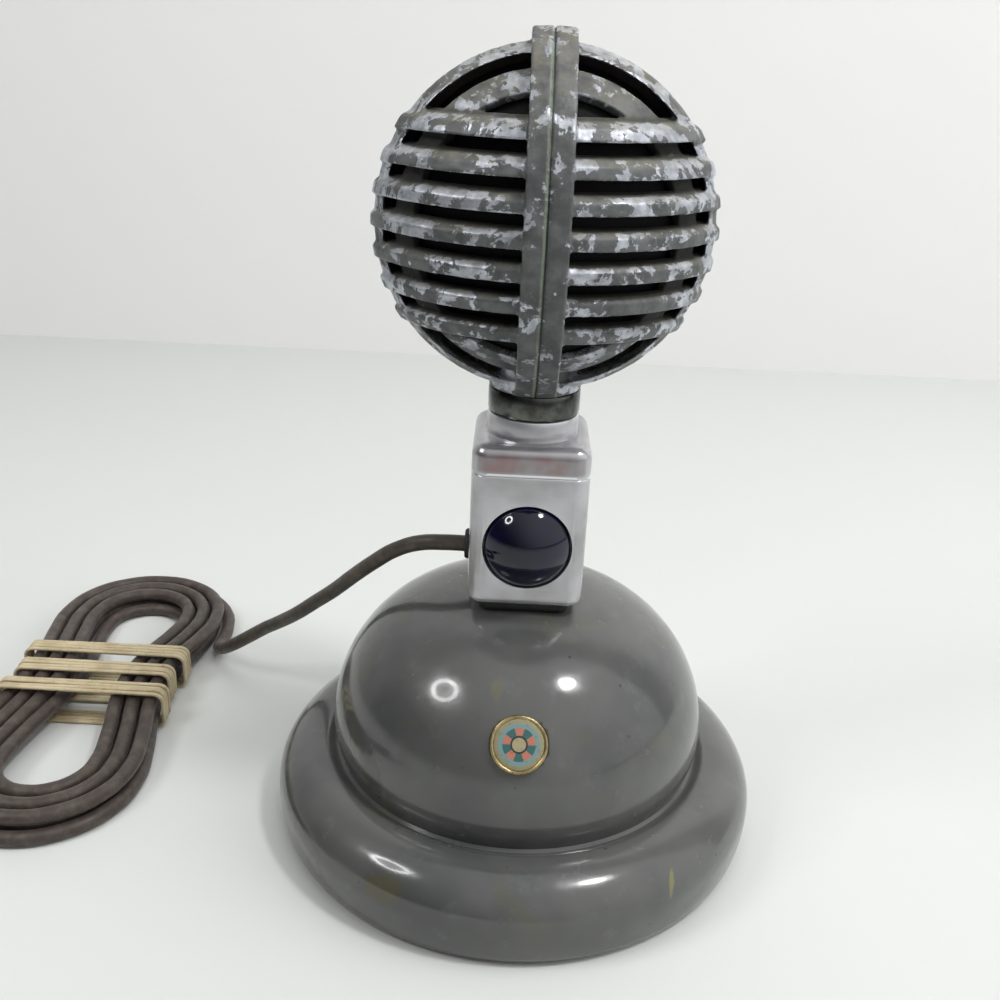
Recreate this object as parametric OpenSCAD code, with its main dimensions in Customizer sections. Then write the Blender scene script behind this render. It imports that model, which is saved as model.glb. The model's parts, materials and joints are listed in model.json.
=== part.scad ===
// Crystal microphone with a push-to-talk switch, on a bell-shaped table base.
// Millimetres, +Z up. The front faces -Y, and the origin lies on the table
// under the middle of the base.

/* [Base] */
// Diameter of the base at its widest
base_d = 117; // [112:1:130]
// How far the foot draws in under the widest line
foot_tuck = 2; // [1:0.5:3]
// Height of the rim of the shell above the table
foot_gap = 0.8; // [0.4:0.2:1.2]
// Height of the widest line of the lower tier
tier_wide_h = 11; // [9:0.5:13]
// Height of the rounded crown of the lower tier
tier_top_h = 19.4; // [18.4:0.2:21]
// Diameter of the crown of the lower tier
crown_d = 94; // [92:1:98]
// Diameter of the crease between the tiers
crease_d = 84; // [80:1:86]
// Height of the crease
crease_h = 17.4; // [16:0.2:18]
// Diameter of the dome at its widest
dome_d = 89.6; // [87:0.2:91]
// Height of the widest line of the dome
dome_wide_h = 26; // [24:0.5:30]
// Height of the flat landing on top of the dome
dome_h = 59.8; // [54:0.2:66]
// Thickness of the pressed shell
shell_wall = 2.4; // [1.8:0.2:3]
// Thickness of the felt pad
felt_t = 2; // [1.4:0.2:3]
// Thickness of the bottom cover
cover_t = 1.2; // [0.8:0.2:2]

/* [Stand fittings] */
// Diameter of the microphone thread, 5/8 in
stud_d = 15.88; // [15:0.02:16.5]
// Diameter of the tie rod, 5/16 in
rod_d = 7.9; // [6:0.1:9]
// Thickness of the washer under the dome
washer_t = 1.6; // [1:0.2:2.4]
// Thickness of the stud nut
stud_nut_t = 6; // [4:0.5:8]
// Width across the flats of the stud nut
stud_nut_af = 23.8; // [20:0.2:26]
// Thickness of the rod nut
rod_nut_t = 4.4; // [3:0.2:5]
// Width across the flats of the rod nut
rod_nut_af = 12.7; // [11:0.1:14]
// Diameter of the cover screws
cover_screw_d = 3; // [2:0.5:4]
// Distance of the cover screws from the middle
cover_screw_place = 40; // [34:1:46]
// Thickness of the rubber gasket between dome and switch
gasket_t = 2.4; // [1.6:0.2:4]
// Side of the rubber gasket
gasket_w = 19.6; // [19:0.2:24]

/* [Badge] */
// Diameter of the badge
badge_d = 12.2; // [10:0.2:15]
// Thickness of the badge pan
badge_t = 1.1; // [0.8:0.1:1.6]
// Width of the brass rim round the badge face
badge_rim_w = 0.8; // [0.5:0.1:1.2]
// Place of the badge up the dome, as an angle of its curve
badge_angle = 31; // [20:1:45]

/* [Switch case] */
// Width of the switch case
case_w = 25.8; // [25.4:0.1:30]
// Depth of the switch case from front to back
case_depth = 28; // [28:0.5:34]
// Height of the lower case
case_h = 30.8; // [30.8:0.1:36]
// Height of the upper case
cap_h = 6.6; // [6:0.1:8]
// Wall of the case
case_wall = 2.2; // [1.8:0.1:2.4]
// Floor of the case
case_floor = 3; // [2.4:0.1:3]
// Radius of the upright corners of the case
case_corner = 3.6; // [2:0.1:5]
// Radius of the top edge of the upper case
cap_edge = 2.6; // [1:0.1:3]
// Diameter of the round collar and of the coupling ring
collar_d = 20.2; // [19:0.1:22]
// Height of the collar
collar_h = 4.5; // [3:0.1:6]
// Height of the threaded end above the collar
thread_h = 2.7; // [2.4:0.1:4]

/* [Button] */
// Diameter of the push button
button_d = 18; // [15:0.2:18]
// Ring-shaped gap round the button
button_gap = 0.9; // [0.5:0.1:1]
// Height of the button above the bottom of the case
button_h = 14.4; // [14:0.2:16]
// How far the button's edge stands out of the case
button_proud = 0.8; // [0.4:0.1:2]
// Height of the domed face of the button
button_crown = 4.2; // [2:0.2:6]
// Travel of the button
button_travel = 2.5; // [1:0.1:2.5]
// Diameter of the plunger behind the button
plunger_d = 5; // [4:0.1:5.4]
// Diameter of the spring wire
spring_wire = 0.7; // [0.5:0.1:0.9]
// Middle diameter of the return spring
spring_d = 8.4; // [7.4:0.2:10]
// Turns of the return spring
spring_turns = 4; // [3:1:4]

/* [Neck] */
// Height of the coupling ring
ring_h = 5.4; // [5:0.1:7]
// Height of the lip inside the coupling ring
ring_lip = 1.65; // [1.2:0.05:2]
// Outside diameter of the connector sleeve
sleeve_d = 12.8; // [12:0.1:13.2]
// Wall of the connector sleeve
sleeve_wall = 1.2; // [0.8:0.1:1.6]
// Thickness of the flange of the connector sleeve
flange_t = 1.2; // [1:0.1:1.6]
// Diameter of the contact pin
pin_d = 2; // [1.6:0.1:2.4]

/* [Head] */
// Diameter of the head over the ribs
head_d = 70.4; // [68:0.2:74]
// Depth of the head from front to back
head_depth = 56; // [52:1:60]
// Half of the width of the straight rim
rim_half_w = 6; // [4:0.5:8]
// Height of the middle of the head above the neck
head_rise = 35; // [34.6:0.1:38]
// Number of ribs on each face
rib_count = 7; // [5:2:7]
// Distance from rib to rib
rib_pitch = 6.3; // [5.6:0.1:6.8]
// Height of one rib
rib_h = 4.1; // [3:0.1:4.6]
// Thickness of the ribs
rib_t = 2.6; // [2:0.1:3]
// How far the ribs stand out from the rim
rib_proud = 0.8; // [0.4:0.1:1.2]
// Width of the double spine
spine_w = 8.8; // [7:0.2:11]
// How far the spine stands out from the ribs
spine_proud = 1.7; // [1:0.1:2.4]
// Depth of the web under the spine
web_depth = 8; // [7:0.5:9]
// Wall of the rim
rim_wall = 2.8; // [2:0.1:3.4]
// Outer diameter of the ring behind the ribs
back_ring_d = 59.2; // [50:0.4:61]
// Width of the ring behind the ribs
back_ring_w = 3.8; // [2:0.2:5]

/* [Cartridge] */
// Diameter of the cartridge case
cartridge_d = 36; // [34:0.5:38]
// Diameter of the cartridge flange
cartridge_flange_d = 46; // [44:0.5:48]
// Depth of the cartridge case behind its flange
cartridge_depth = 9.8; // [9:0.2:12]
// Thickness of the baffle plate
baffle_t = 1.2; // [0.8:0.1:2]
// Side of the square crystal
crystal_w = 10.4; // [8:0.2:11]
// Thickness of the crystal
crystal_t = 1.4; // [1:0.1:2]
// Diameter of the sound holes in the cartridge cover
sound_hole_d = 3; // [1.5:0.1:3.4]

/* [Cord] */
// Diameter of the cord
cord_d = 3.8; // [3.4:0.1:3.8]
// Height of the cord outlet above the bottom of the case
cord_h = 6.9; // [6.9:0.1:8]
// Length of the straight runs of the hank
run_l = 76; // [72:1:80]
// Distance from loop to loop in the hank
loop_step = 4.6; // [4.6:0.1:5.4]
// How far the hank draws in at its waist
waist_pinch = 5; // [4:0.5:6]
// Width of each rubber band
band_w = 6; // [4:0.5:8]
// Thickness of the rubber bands
band_t = 0.9; // [0.6:0.1:1]
// Number of rubber bands
band_count = 3; // [1:1:3]

/* [Hidden] */
round_fn = 64;
fine_fn = 32;
thread_clear = 0.04;
slide_clear = 0.05;
seat_clear = 0.3;
hole_clear = 0.1;
cut = 1;
curve_steps = 14;

base_r = base_d / 2;
foot_r = base_r - foot_tuck;
crown_r = crown_d / 2;
crease_r = crease_d / 2;
crease_fillet = 1.2;
dome_r = dome_d / 2;
stud_r = stud_d / 2;
rod_r = rod_d / 2;
landing_w = 1.6;
landing_r = stud_r + landing_w;
inner_landing_r = landing_r + shell_wall + hole_clear;
shell_seat_z = crease_h - shell_wall;
shell_seat_w = 4.4;
ballast_z = felt_t + cover_t;
ballast_gap = 0.8;
ballast_r = foot_r - shell_wall - ballast_gap;
rod_nut_recess = 6;
cover_screw_r = cover_screw_d / 2;
cover_screw_head_t = 1.6;
cover_screw_l = 6;
washer_z = dome_h - shell_wall - washer_t;
stud_nut_z = washer_z - stud_nut_t;
stud_tail = 2.5;
stud_bottom_z = stud_nut_z - stud_tail;
rod_grip = 8.5;
rod_lift = 0.8;
nut_pocket_room = 1.5;
felt_margin = 0.4;
screw_short = 0.5;
gasket_corner = 2;

badge_r = badge_d / 2;
badge_seat = 0.5;
badge_face_t = 0.35;
badge_pin_r = 1.2;
badge_pin_reach = 2.2;
badge_pin_l = shell_wall + badge_pin_reach;
badge_clip_r = 3.2;
badge_clip_t = 0.5;
dome_curve_a = dome_r - landing_r;
dome_curve_b = dome_h - dome_wide_h;
badge_y = landing_r + dome_curve_a * cos(badge_angle);
badge_z = dome_wide_h + dome_curve_b * sin(badge_angle);
badge_tilt = atan2(sin(badge_angle) / dome_curve_b, cos(badge_angle) / dome_curve_a);

case_z = dome_h + gasket_t;
part_z = case_z + case_h;
cap_top_z = part_z + cap_h;
collar_top_z = cap_top_z + collar_h;
thread_top_z = collar_top_z + thread_h;
collar_r = collar_d / 2;
inner_w = case_w / 2 - case_wall;
inner_d = case_depth / 2 - case_wall;
floor_z = case_z + case_floor;
front_y = -case_depth / 2;
column_r = 2.7;
column_x = inner_w - 2.5;
column_y = inner_d - 2.4;
case_screw_r = 1.3;
case_screw_head_r = 2.4;
case_screw_head_t = 2;
case_screw_reach = 4;
case_screw_deep = 0.3;
case_low_edge = 1.4;
parting_edge = 0.3;
cap_cavity_h = 3.4;
cap_cavity_z = part_z + cap_cavity_h;
cap_cavity_w = 8;
cap_cavity_back_w = 5.4;
cap_cavity_back_y = inner_d - 0.6;

button_r = button_d / 2;
button_z = case_z + button_h;
button_flange_w = 1.4;
button_flange_t = 1.25;
button_flange_y = front_y + case_wall + slide_clear;
button_back_y = button_flange_y + button_flange_t;
plunger_r = plunger_d / 2;
plunger_tenon_r = 2;
plunger_tenon_l = 4;
nose_r = 1.2;
nose_gap = 0.1;
nose_step = 0.5;
guide_t = 1.2;
guide_y = -2;
guide_groove = 0.9;
leaf_y = 2.3;
leaf_t = 0.3;
leaf_w = 5;
leaf_clear_h = 3.6;
leaf_bottom_z = floor_z + leaf_clear_h;
stack_h = 5.1;
stack_half_w = 5;
stack_top_gap = 0.4;
stack_top_z = part_z - stack_top_gap;
leaf_pivot_z = stack_top_z - stack_h;
contact_r = 1.2;
contact_t = 0.8;
contact_rise = 1.4;
contact_z = leaf_bottom_z + contact_rise;
leaf_lever = leaf_pivot_z - button_z;
leaf_angle = atan(button_travel / leaf_lever);
contact_swing = (leaf_pivot_z - contact_z + contact_r) * sin(leaf_angle);
contact_turn = (leaf_t / 2 + contact_t) * cos(leaf_angle);
fixed_contact_y = leaf_y + leaf_t / 2 + contact_swing + contact_turn + nose_gap;
fixed_leaf_y = fixed_contact_y + contact_t;
fixed_leaf_t = 0.4;
stack_back_t = 1;
stack_back_y = fixed_leaf_y + fixed_leaf_t;
stack_screw_x = 3.3;
stack_screw_r = 0.9;
stack_screw_head_r = 1.45;
stack_screw_head_t = 0.7;
tail_w = 3;
tail_h = 2;

bush_r = 5;
socket_r = 1.6;
socket_tail = 1.6;
socket_tail_z = cap_cavity_z - socket_tail;
socket_sunk = 0.6;
socket_floor = 2;
thread_pitch = 25.4 / 27;
ring_gap = 0.2;
ring_z = collar_top_z + ring_gap;
ring_top_z = ring_z + ring_h;
ring_r = collar_r;
lip_z = ring_top_z - ring_lip;
sleeve_r = sleeve_d / 2;
sleeve_bore_r = sleeve_r - sleeve_wall;
flange_r = stud_r - seat_clear;
neck_boss_h = 8.6;
neck_z = ring_top_z + slide_clear;
neck_top_z = neck_z + neck_boss_h;
sleeve_nut_t = 2;
sleeve_nut_r = sleeve_r + 2;
sleeve_end = 0.4;
sleeve_top_z = neck_top_z + sleeve_nut_t + sleeve_end;
pin_r = pin_d / 2;
pin_insulator_z = thread_top_z + sleeve_end;
pin_insulator_t = 5;
pin_head_t = 1;
pin_plug_l = 4;
pin_bottom_z = thread_top_z - pin_plug_l;
pin_head_r = 1.8;

head_z = neck_z + head_rise;
head_r = head_d / 2;
half_depth = head_depth / 2;
face_shift = (head_r * head_r + rim_half_w * rim_half_w - half_depth * half_depth)
    / (2 * (half_depth - rim_half_w));
face_r = half_depth + face_shift;
rim_inner_r = head_r - rib_proud - rim_wall;
back_ring_r = back_ring_d / 2;
back_ring_t = 1.8;
back_ring_bite = 0.3;
ring_room = 0.8;
nut_room = 0.6;
seam_groove_w = 1;
seam_groove_t = 0.8;
shell_screw_r = 1.5;
shell_screw_head_r = 2.6;
shell_screw_head_t = 1.8;
shell_screw_z = 25;
shell_screw_deep = 4;
shell_screw_y = sqrt(pow(face_r - shell_screw_deep, 2) - pow(shell_screw_z, 2)) - face_shift;
gauze_t = 0.5;
gauze_room = 0.1;
gauze_in = rib_t + back_ring_t + gauze_room;
gauze_r = rim_inner_r - gauze_room;
baffle_groove = 1;
baffle_r = rim_inner_r + baffle_groove;

cartridge_r = cartridge_d / 2;
cartridge_flange_r = cartridge_flange_d / 2;
cartridge_flange_t = 1.6;
cartridge_wall = 1;
cartridge_back_t = 1.2;
cartridge_gasket_t = 1.2;
cartridge_hole_r = cartridge_r + cartridge_wall;
mount_y = -baffle_t / 2;
flange_back_y = mount_y - cartridge_gasket_t;
flange_front_y = flange_back_y - cartridge_flange_t;
case_back_y = flange_back_y + cartridge_depth;
cavity_back_y = case_back_y - cartridge_back_t;
diaphragm_t = 0.2;
diaphragm_dip = 1.8;
cover_front_t = 1.2;
cover_face_t = 1;
cover_gap = 1.4;
cartridge_screw_place = cartridge_r + 2.9;
cartridge_screw_r = 1;
cartridge_screw_head_r = 1.9;
cartridge_screw_head_t = 0.9;
cartridge_screw_end = 0.4;
cartridge_nut_t = 1.6;
cartridge_nut_r = 2.1;
pad_t = 1.5;
pad_r = 1.8;
pad_x = 4.4;
crystal_back_y = cavity_back_y - pad_t;
crystal_front_y = crystal_back_y - crystal_t;
crystal_corner_in = 0.9;
crystal_rise = crystal_w / sqrt(2) - crystal_corner_in;
drive_pin_r = 0.4;
lug_x = 3;
lug_drop = 4;
lug_r = 0.9;
lug_l = 3.2;
lug_inside = 0.6;
wire_r = 0.6;

cord_r = cord_d / 2;
cord_z = case_z + cord_h;
cord_y = 3;
grommet_r = cord_r + 1.1;
grommet_rim_r = cord_r + 1.7;
grommet_rim_t = 1;
grommet_out_x = -case_w / 2 - grommet_rim_t;
cord_inner_x = -inner_w + 3;
layer_rise = cord_d + 0.5;
loops = 4;
fold_r = 3 * cord_d;
turns_in = loops - 0.75;
outer_loop_r = fold_r + turns_in * loop_step;
joint_x = -92;
hank_x = joint_x - outer_loop_r;
hank_y = 33;
hank_half = run_l / 2;
hank_lead_in = cord_d + 0.2;
rings_half = 12;
band_pitch = 10;
band_room = 0.3;
waist_lift = band_t + 1;
turns_climb = 0.25;
turns_all = 2 * turns_in;
cord_low = cord_r;
joint_y = hank_y + hank_half - hank_lead_in;
// The route of the free cord, from the case to the hank on the table.
cord_route = [
    [grommet_out_x, cord_y, cord_z],
    [-19, cord_y, cord_z],
    [-25, 4, 68.2],
    [-31, 6.8, 64.8],
    [-37, 11, 59],
    [-43, 16.5, 52],
    [-49, 22.5, 44.5],
    [-55, 27.5, 38],
    [-61, 32.5, 31.5],
    [-67, 38, 25.5],
    [-73, 43, 20],
    [-78.8, 46, 15],
    [-84, 49, 10.5],
    [-88, 53, 6.8],
    [-90.8, 57.8, 4],
    [-91.9, 62.5, 2.3],
    [joint_x, joint_y, cord_low]
];
plug_r = cord_r + layer_rise;
plug_l = 34;
plug_barrel_r = 3.15;
plug_barrel_l = 25;
plug_waist_r = 2.36;
plug_ring_r = 2.84;
plug_ring_l = 1.2;
plug_tip_l = 6;
plug_x = hank_x - fold_r - (turns_in - turns_climb) * loop_step;
tail_l = 24;
plug_y = hank_y - hank_half - tail_l;
plug_z = cord_r + layer_rise;

// Curves and tubes

function arc_points(cx, cy, a, b, from, to) =
    [for (i = [0:curve_steps]) let (t = from + (to - from) * i / curve_steps)
        [cx + a * cos(t), cy + b * sin(t)]];

function ease(u) = (1 - cos(180 * u)) / 2;

function reverse(list) = [for (i = [len(list) - 1:-1:0]) list[i]];

function unit(v) = v / norm(v);

function heading(p, i) =
    unit(p[min(i + 1, len(p) - 1)] - p[max(i - 1, 0)]);

// The section of a tube stands square to its first and last stretch.
function tube_ring(p, i, r, sides, up) =
    let (
        t = heading(p, i),
        side = unit(cross(t, up)),
        over = cross(side, t)
    )
    [for (k = [0:sides - 1]) let (a = 360 * (k + 0.5) / sides)
        p[i] + r * (cos(a) * side + sin(a) * over)];

module tube(p, r, sides, up = [0, 0, 1]) {
    n = len(p);
    points = [for (i = [0:n - 1]) each tube_ring(p, i, r, sides, up)];
    skin = [for (i = [0:n - 2]) for (k = [0:sides - 1])
        let (
            a = i * sides + k,
            b = i * sides + (k + 1) % sides
        )
        each [[a, b, b + sides], [a, b + sides, a + sides]]];
    start_cap = [for (k = [1:sides - 2]) [0, k + 1, k]];
    last = (n - 1) * sides;
    end_cap = [for (k = [1:sides - 2]) [last, last + k, last + k + 1]];
    polyhedron(points = points, faces = concat(skin, start_cap, end_cap));
}

module hex_nut(af, t, hole_r) {
    difference() {
        cylinder(r = af / sqrt(3), h = t, $fn = 6);
        translate([0, 0, -cut]) cylinder(r = hole_r, h = t + 2 * cut, $fn = fine_fn);
    }
}

module along_y(y) {
    translate([0, y, 0]) rotate([-90, 0, 0]) children();
}

module soft_square(w, d, r) {
    square([w - 2 * r, d], center = true);
    square([w, d - 2 * r], center = true);
    for (x = [-1, 1]) for (y = [-1, 1])
        translate([x * (w / 2 - r), y * (d / 2 - r)]) circle(r = r, $fn = fine_fn);
}

// Base

function shell_outside() = concat(
    arc_points(foot_r, tier_wide_h, foot_tuck, tier_wide_h - foot_gap, -90, 0),
    arc_points(crown_r, tier_wide_h, base_r - crown_r, tier_top_h - tier_wide_h, 0, 90),
    [for (i = [1:curve_steps]) let (u = i / curve_steps)
        [crown_r + (crease_r + crease_fillet - crown_r) * u,
         tier_top_h + (crease_h - tier_top_h) * ease(u)]],
    [for (i = [0:curve_steps]) let (u = i / curve_steps)
        [crease_r + (dome_r - crease_r) * sin(90 * u),
         crease_h + crease_fillet + (dome_wide_h - crease_h - crease_fillet) * u]],
    arc_points(landing_r, dome_wide_h, dome_curve_a, dome_curve_b, 0, 90)
);

function shell_inside() = concat(
    [[foot_r - shell_wall, foot_gap]],
    arc_points(crown_r, tier_wide_h, base_r - shell_wall - crown_r,
        tier_top_h - shell_wall - tier_wide_h, 0, 90),
    [[crease_r - shell_wall + shell_seat_w, shell_seat_z],
     [crease_r - shell_wall, shell_seat_z],
     [crease_r - shell_wall, crease_h + crease_fillet]],
    arc_points(inner_landing_r, dome_wide_h, dome_r - shell_wall - inner_landing_r,
        dome_curve_b - shell_wall, 0, 90)
);

module at_badge() {
    translate([0, -badge_y, badge_z]) rotate([90 - badge_tilt, 0, 0]) children();
}

module at_cover_screws() {
    for (a = [30:120:270]) rotate([0, 0, a]) translate([cover_screw_place, 0, 0]) children();
}

module base_shell() {
    color("dimgray") difference() {
        rotate_extrude($fn = round_fn) polygon(concat(
            shell_outside(),
            [[stud_r + slide_clear, dome_h], [stud_r + slide_clear, dome_h - shell_wall]],
            reverse(shell_inside())
        ));
        at_badge() {
            translate([0, 0, -badge_seat])
                cylinder(r = badge_r + slide_clear, h = badge_r, $fn = round_fn);
            translate([0, 0, -badge_pin_l])
                cylinder(r = badge_pin_r + slide_clear, h = badge_pin_l, $fn = fine_fn);
        }
    }
}

module badge_rim() {
    color("gold") at_badge() difference() {
        union() {
            translate([0, 0, -badge_seat]) cylinder(r = badge_r, h = badge_t, $fn = round_fn);
            translate([0, 0, -badge_pin_l])
                cylinder(r = badge_pin_r, h = badge_pin_l, $fn = fine_fn);
        }
        translate([0, 0, badge_t - badge_seat - badge_face_t])
            cylinder(r = badge_r - badge_rim_w, h = cut, $fn = round_fn);
    }
}

module badge_face() {
    color("tomato") at_badge() translate([0, 0, badge_t - badge_seat - badge_face_t])
        cylinder(r = badge_r - badge_rim_w, h = badge_face_t, $fn = round_fn);
}

module badge_clip() {
    color("silver") at_badge() translate([0, 0, -shell_wall - 2 * badge_clip_t - hole_clear])
        difference() {
            cylinder(r = badge_clip_r, h = badge_clip_t, $fn = fine_fn);
            translate([0, 0, -cut])
                cylinder(r = badge_pin_r, h = badge_clip_t + 2 * cut, $fn = fine_fn);
        }
}

module neck_gasket() {
    color("black") translate([0, 0, dome_h]) linear_extrude(gasket_t) difference() {
        soft_square(gasket_w, gasket_w, gasket_corner);
        circle(r = stud_r + slide_clear, $fn = round_fn);
    }
}

module stand_stud() {
    color("silver") translate([0, 0, stud_bottom_z]) difference() {
        cylinder(r = stud_r, h = floor_z - stud_bottom_z, $fn = round_fn);
        translate([0, 0, -cut])
            cylinder(r = rod_r + thread_clear, h = rod_grip + 2 * cut, $fn = fine_fn);
    }
}

module stud_washer() {
    color("lightgray") translate([0, 0, washer_z]) difference() {
        cylinder(r = inner_landing_r, h = washer_t, $fn = round_fn);
        translate([0, 0, -cut])
            cylinder(r = stud_r + slide_clear, h = washer_t + 2 * cut, $fn = round_fn);
    }
}

module stud_nut() {
    color("darkgray") translate([0, 0, stud_nut_z])
        hex_nut(stud_nut_af, stud_nut_t, stud_r + thread_clear);
}

module tie_rod() {
    rod_bottom = ballast_z + rod_lift;
    color("silver") translate([0, 0, rod_bottom])
        cylinder(r = rod_r, h = stud_bottom_z + rod_grip - rod_bottom, $fn = fine_fn);
}

module ballast_weight() {
    color("darkslategray") difference() {
        rotate_extrude($fn = round_fn) polygon([
            [rod_r + hole_clear, ballast_z],
            [ballast_r, ballast_z],
            [ballast_r, tier_wide_h],
            [crease_r - shell_wall + shell_seat_w, shell_seat_z],
            [rod_r + hole_clear, shell_seat_z]
        ]);
        translate([0, 0, ballast_z - cut])
            cylinder(r = rod_nut_af / sqrt(3) + nut_pocket_room, h = rod_nut_recess + cut,
                $fn = round_fn);
        translate([0, 0, ballast_z - cut]) at_cover_screws()
            cylinder(r = cover_screw_r + thread_clear, h = cover_screw_l + cut, $fn = fine_fn);
    }
}

module ballast_nut() {
    color("silver") translate([0, 0, ballast_z + rod_nut_recess - rod_nut_t])
        hex_nut(rod_nut_af, rod_nut_t, rod_r + thread_clear);
}

module bottom_cover() {
    color("saddlebrown") translate([0, 0, felt_t]) difference() {
        cylinder(r = foot_r - shell_wall - seat_clear, h = cover_t, $fn = round_fn);
        translate([0, 0, -cut]) at_cover_screws()
            cylinder(r = cover_screw_r + hole_clear, h = cover_t + 2 * cut, $fn = fine_fn);
    }
}

module cover_screws() {
    shank = cover_t + cover_screw_l - screw_short;
    color("silver") at_cover_screws() {
        translate([0, 0, felt_t]) cylinder(r = cover_screw_r, h = shank, $fn = fine_fn);
        translate([0, 0, felt_t - cover_screw_head_t])
            cylinder(r = 2 * cover_screw_r, h = cover_screw_head_t, $fn = fine_fn);
    }
}

module felt_pad() {
    color("darkolivegreen") difference() {
        cylinder(r = foot_r - shell_wall - seat_clear - felt_margin, h = felt_t, $fn = round_fn);
        translate([0, 0, -cut]) at_cover_screws()
            cylinder(r = 2 * cover_screw_r + felt_margin, h = felt_t + 2 * cut, $fn = fine_fn);
    }
}

// Switch

module side_view(z0, z1, w, low_r, high_r) {
    translate([0, z0 + low_r]) translate([-w / 2, 0]) square([w, z1 - z0 - low_r - high_r]);
    translate([-w / 2 + low_r, z0]) square([w - 2 * low_r, z1 - z0 - high_r]);
    translate([-w / 2 + high_r, z0 + low_r]) square([w - 2 * high_r, z1 - z0 - low_r]);
    for (x = [-1, 1]) {
        translate([x * (w / 2 - low_r), z0 + low_r]) circle(r = low_r, $fn = fine_fn);
        translate([x * (w / 2 - high_r), z1 - high_r]) circle(r = high_r, $fn = fine_fn);
    }
}

module case_block(z0, z1, low_r, high_r) {
    intersection() {
        translate([0, 0, z0]) linear_extrude(z1 - z0)
            soft_square(case_w, case_depth, case_corner);
        rotate([90, 0, 0]) linear_extrude(case_depth + 2 * cut, center = true)
            side_view(z0, z1, case_w, low_r, high_r);
        rotate([90, 0, 90]) linear_extrude(case_w + 2 * cut, center = true)
            side_view(z0, z1, case_depth, low_r, high_r);
    }
}

module at_columns() {
    for (x = [-1, 1]) translate([x * column_x, column_y, 0]) children();
}

module switch_body() {
    color("lightgray") difference() {
        union() {
            difference() {
                case_block(case_z, part_z, case_low_edge, parting_edge);
                translate([-inner_w, -inner_d, floor_z])
                    cube([2 * inner_w, 2 * inner_d, case_h]);
            }
            at_columns() translate([0, 0, floor_z - cut])
                cylinder(r = column_r, h = part_z - floor_z + cut, $fn = fine_fn);
        }
        translate([0, 0, case_z - cut])
            cylinder(r = stud_r + thread_clear, h = case_floor + 2 * cut, $fn = round_fn);
        translate([0, 0, button_z]) along_y(front_y - cut)
            cylinder(r = button_r + button_gap, h = case_wall + 2 * cut, $fn = round_fn);
        translate([-case_w / 2 - cut, cord_y, cord_z]) rotate([0, 90, 0])
            cylinder(r = grommet_r, h = case_wall + 2 * cut, $fn = fine_fn);
        translate([-inner_w - guide_groove, guide_y - slide_clear, floor_z])
            cube([2 * (inner_w + guide_groove), guide_t + 2 * slide_clear, case_h]);
        at_columns() translate([0, 0, case_z - cut]) {
            cylinder(r = case_screw_r + hole_clear, h = case_h + 2 * cut, $fn = fine_fn);
            cylinder(r = case_screw_head_r + hole_clear,
                h = case_screw_head_t + case_screw_deep + cut, $fn = fine_fn);
        }
    }
}

module switch_cap() {
    color("gainsboro") difference() {
        union() {
            case_block(part_z, cap_top_z, parting_edge, cap_edge);
            translate([0, 0, cap_top_z - cut])
                cylinder(r = collar_r, h = collar_h + cut, $fn = round_fn);
            translate([0, 0, collar_top_z - cut])
                cylinder(r = stud_r, h = thread_h + cut, $fn = round_fn);
        }
        translate([-cap_cavity_w, -inner_d, part_z - cut])
            cube([2 * cap_cavity_w, inner_d + column_y - column_r, cap_cavity_z - part_z + cut]);
        translate([-cap_cavity_back_w, 0, part_z - cut])
            cube([2 * cap_cavity_back_w, cap_cavity_back_y, cap_cavity_z - part_z + cut]);
        translate([0, 0, part_z])
            cylinder(r = bush_r, h = thread_top_z - part_z + cut, $fn = fine_fn);
        at_columns() translate([0, 0, part_z - cut])
            cylinder(r = case_screw_r + thread_clear, h = case_screw_reach + cut, $fn = fine_fn);
    }
}

module case_screws() {
    low_z = case_z + case_screw_deep;
    color("dimgray") at_columns() {
        translate([0, 0, low_z])
            cylinder(r = case_screw_head_r, h = case_screw_head_t, $fn = fine_fn);
        translate([0, 0, low_z])
            cylinder(r = case_screw_r, h = part_z + case_screw_reach - seat_clear - low_z, $fn = fine_fn);
    }
}

module button_cap() {
    rim_y = front_y - button_proud;
    face_ball_r = (button_r * button_r + button_crown * button_crown) / (2 * button_crown);
    color("midnightblue") translate([0, 0, button_z]) difference() {
        union() {
            along_y(rim_y) cylinder(r = button_r, h = button_back_y - rim_y, $fn = round_fn);
            along_y(button_flange_y)
                cylinder(r = button_r + button_flange_w, h = button_flange_t, $fn = round_fn);
            intersection() {
                translate([0, rim_y - button_crown + face_ball_r, 0])
                    sphere(r = face_ball_r, $fn = round_fn);
                along_y(rim_y - button_crown - cut)
                    cylinder(r = button_r, h = button_crown + 2 * cut, $fn = round_fn);
            }
        }
        along_y(button_back_y - plunger_tenon_l)
            cylinder(r = plunger_tenon_r, h = plunger_tenon_l + cut, $fn = fine_fn);
    }
}

module button_plunger() {
    nose_y = leaf_y - nose_gap - nose_r;
    shaft_end_y = guide_y + guide_t + nose_step;
    color("goldenrod") translate([0, 0, button_z]) {
        along_y(button_back_y - plunger_tenon_l)
            cylinder(r = plunger_tenon_r, h = plunger_tenon_l, $fn = fine_fn);
        along_y(button_back_y)
            cylinder(r = plunger_r, h = shaft_end_y - button_back_y, $fn = fine_fn);
        along_y(shaft_end_y - cut)
            cylinder(r = nose_r, h = nose_y - shaft_end_y + cut, $fn = fine_fn);
        translate([0, nose_y, 0]) sphere(r = nose_r, $fn = fine_fn);
    }
}

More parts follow.
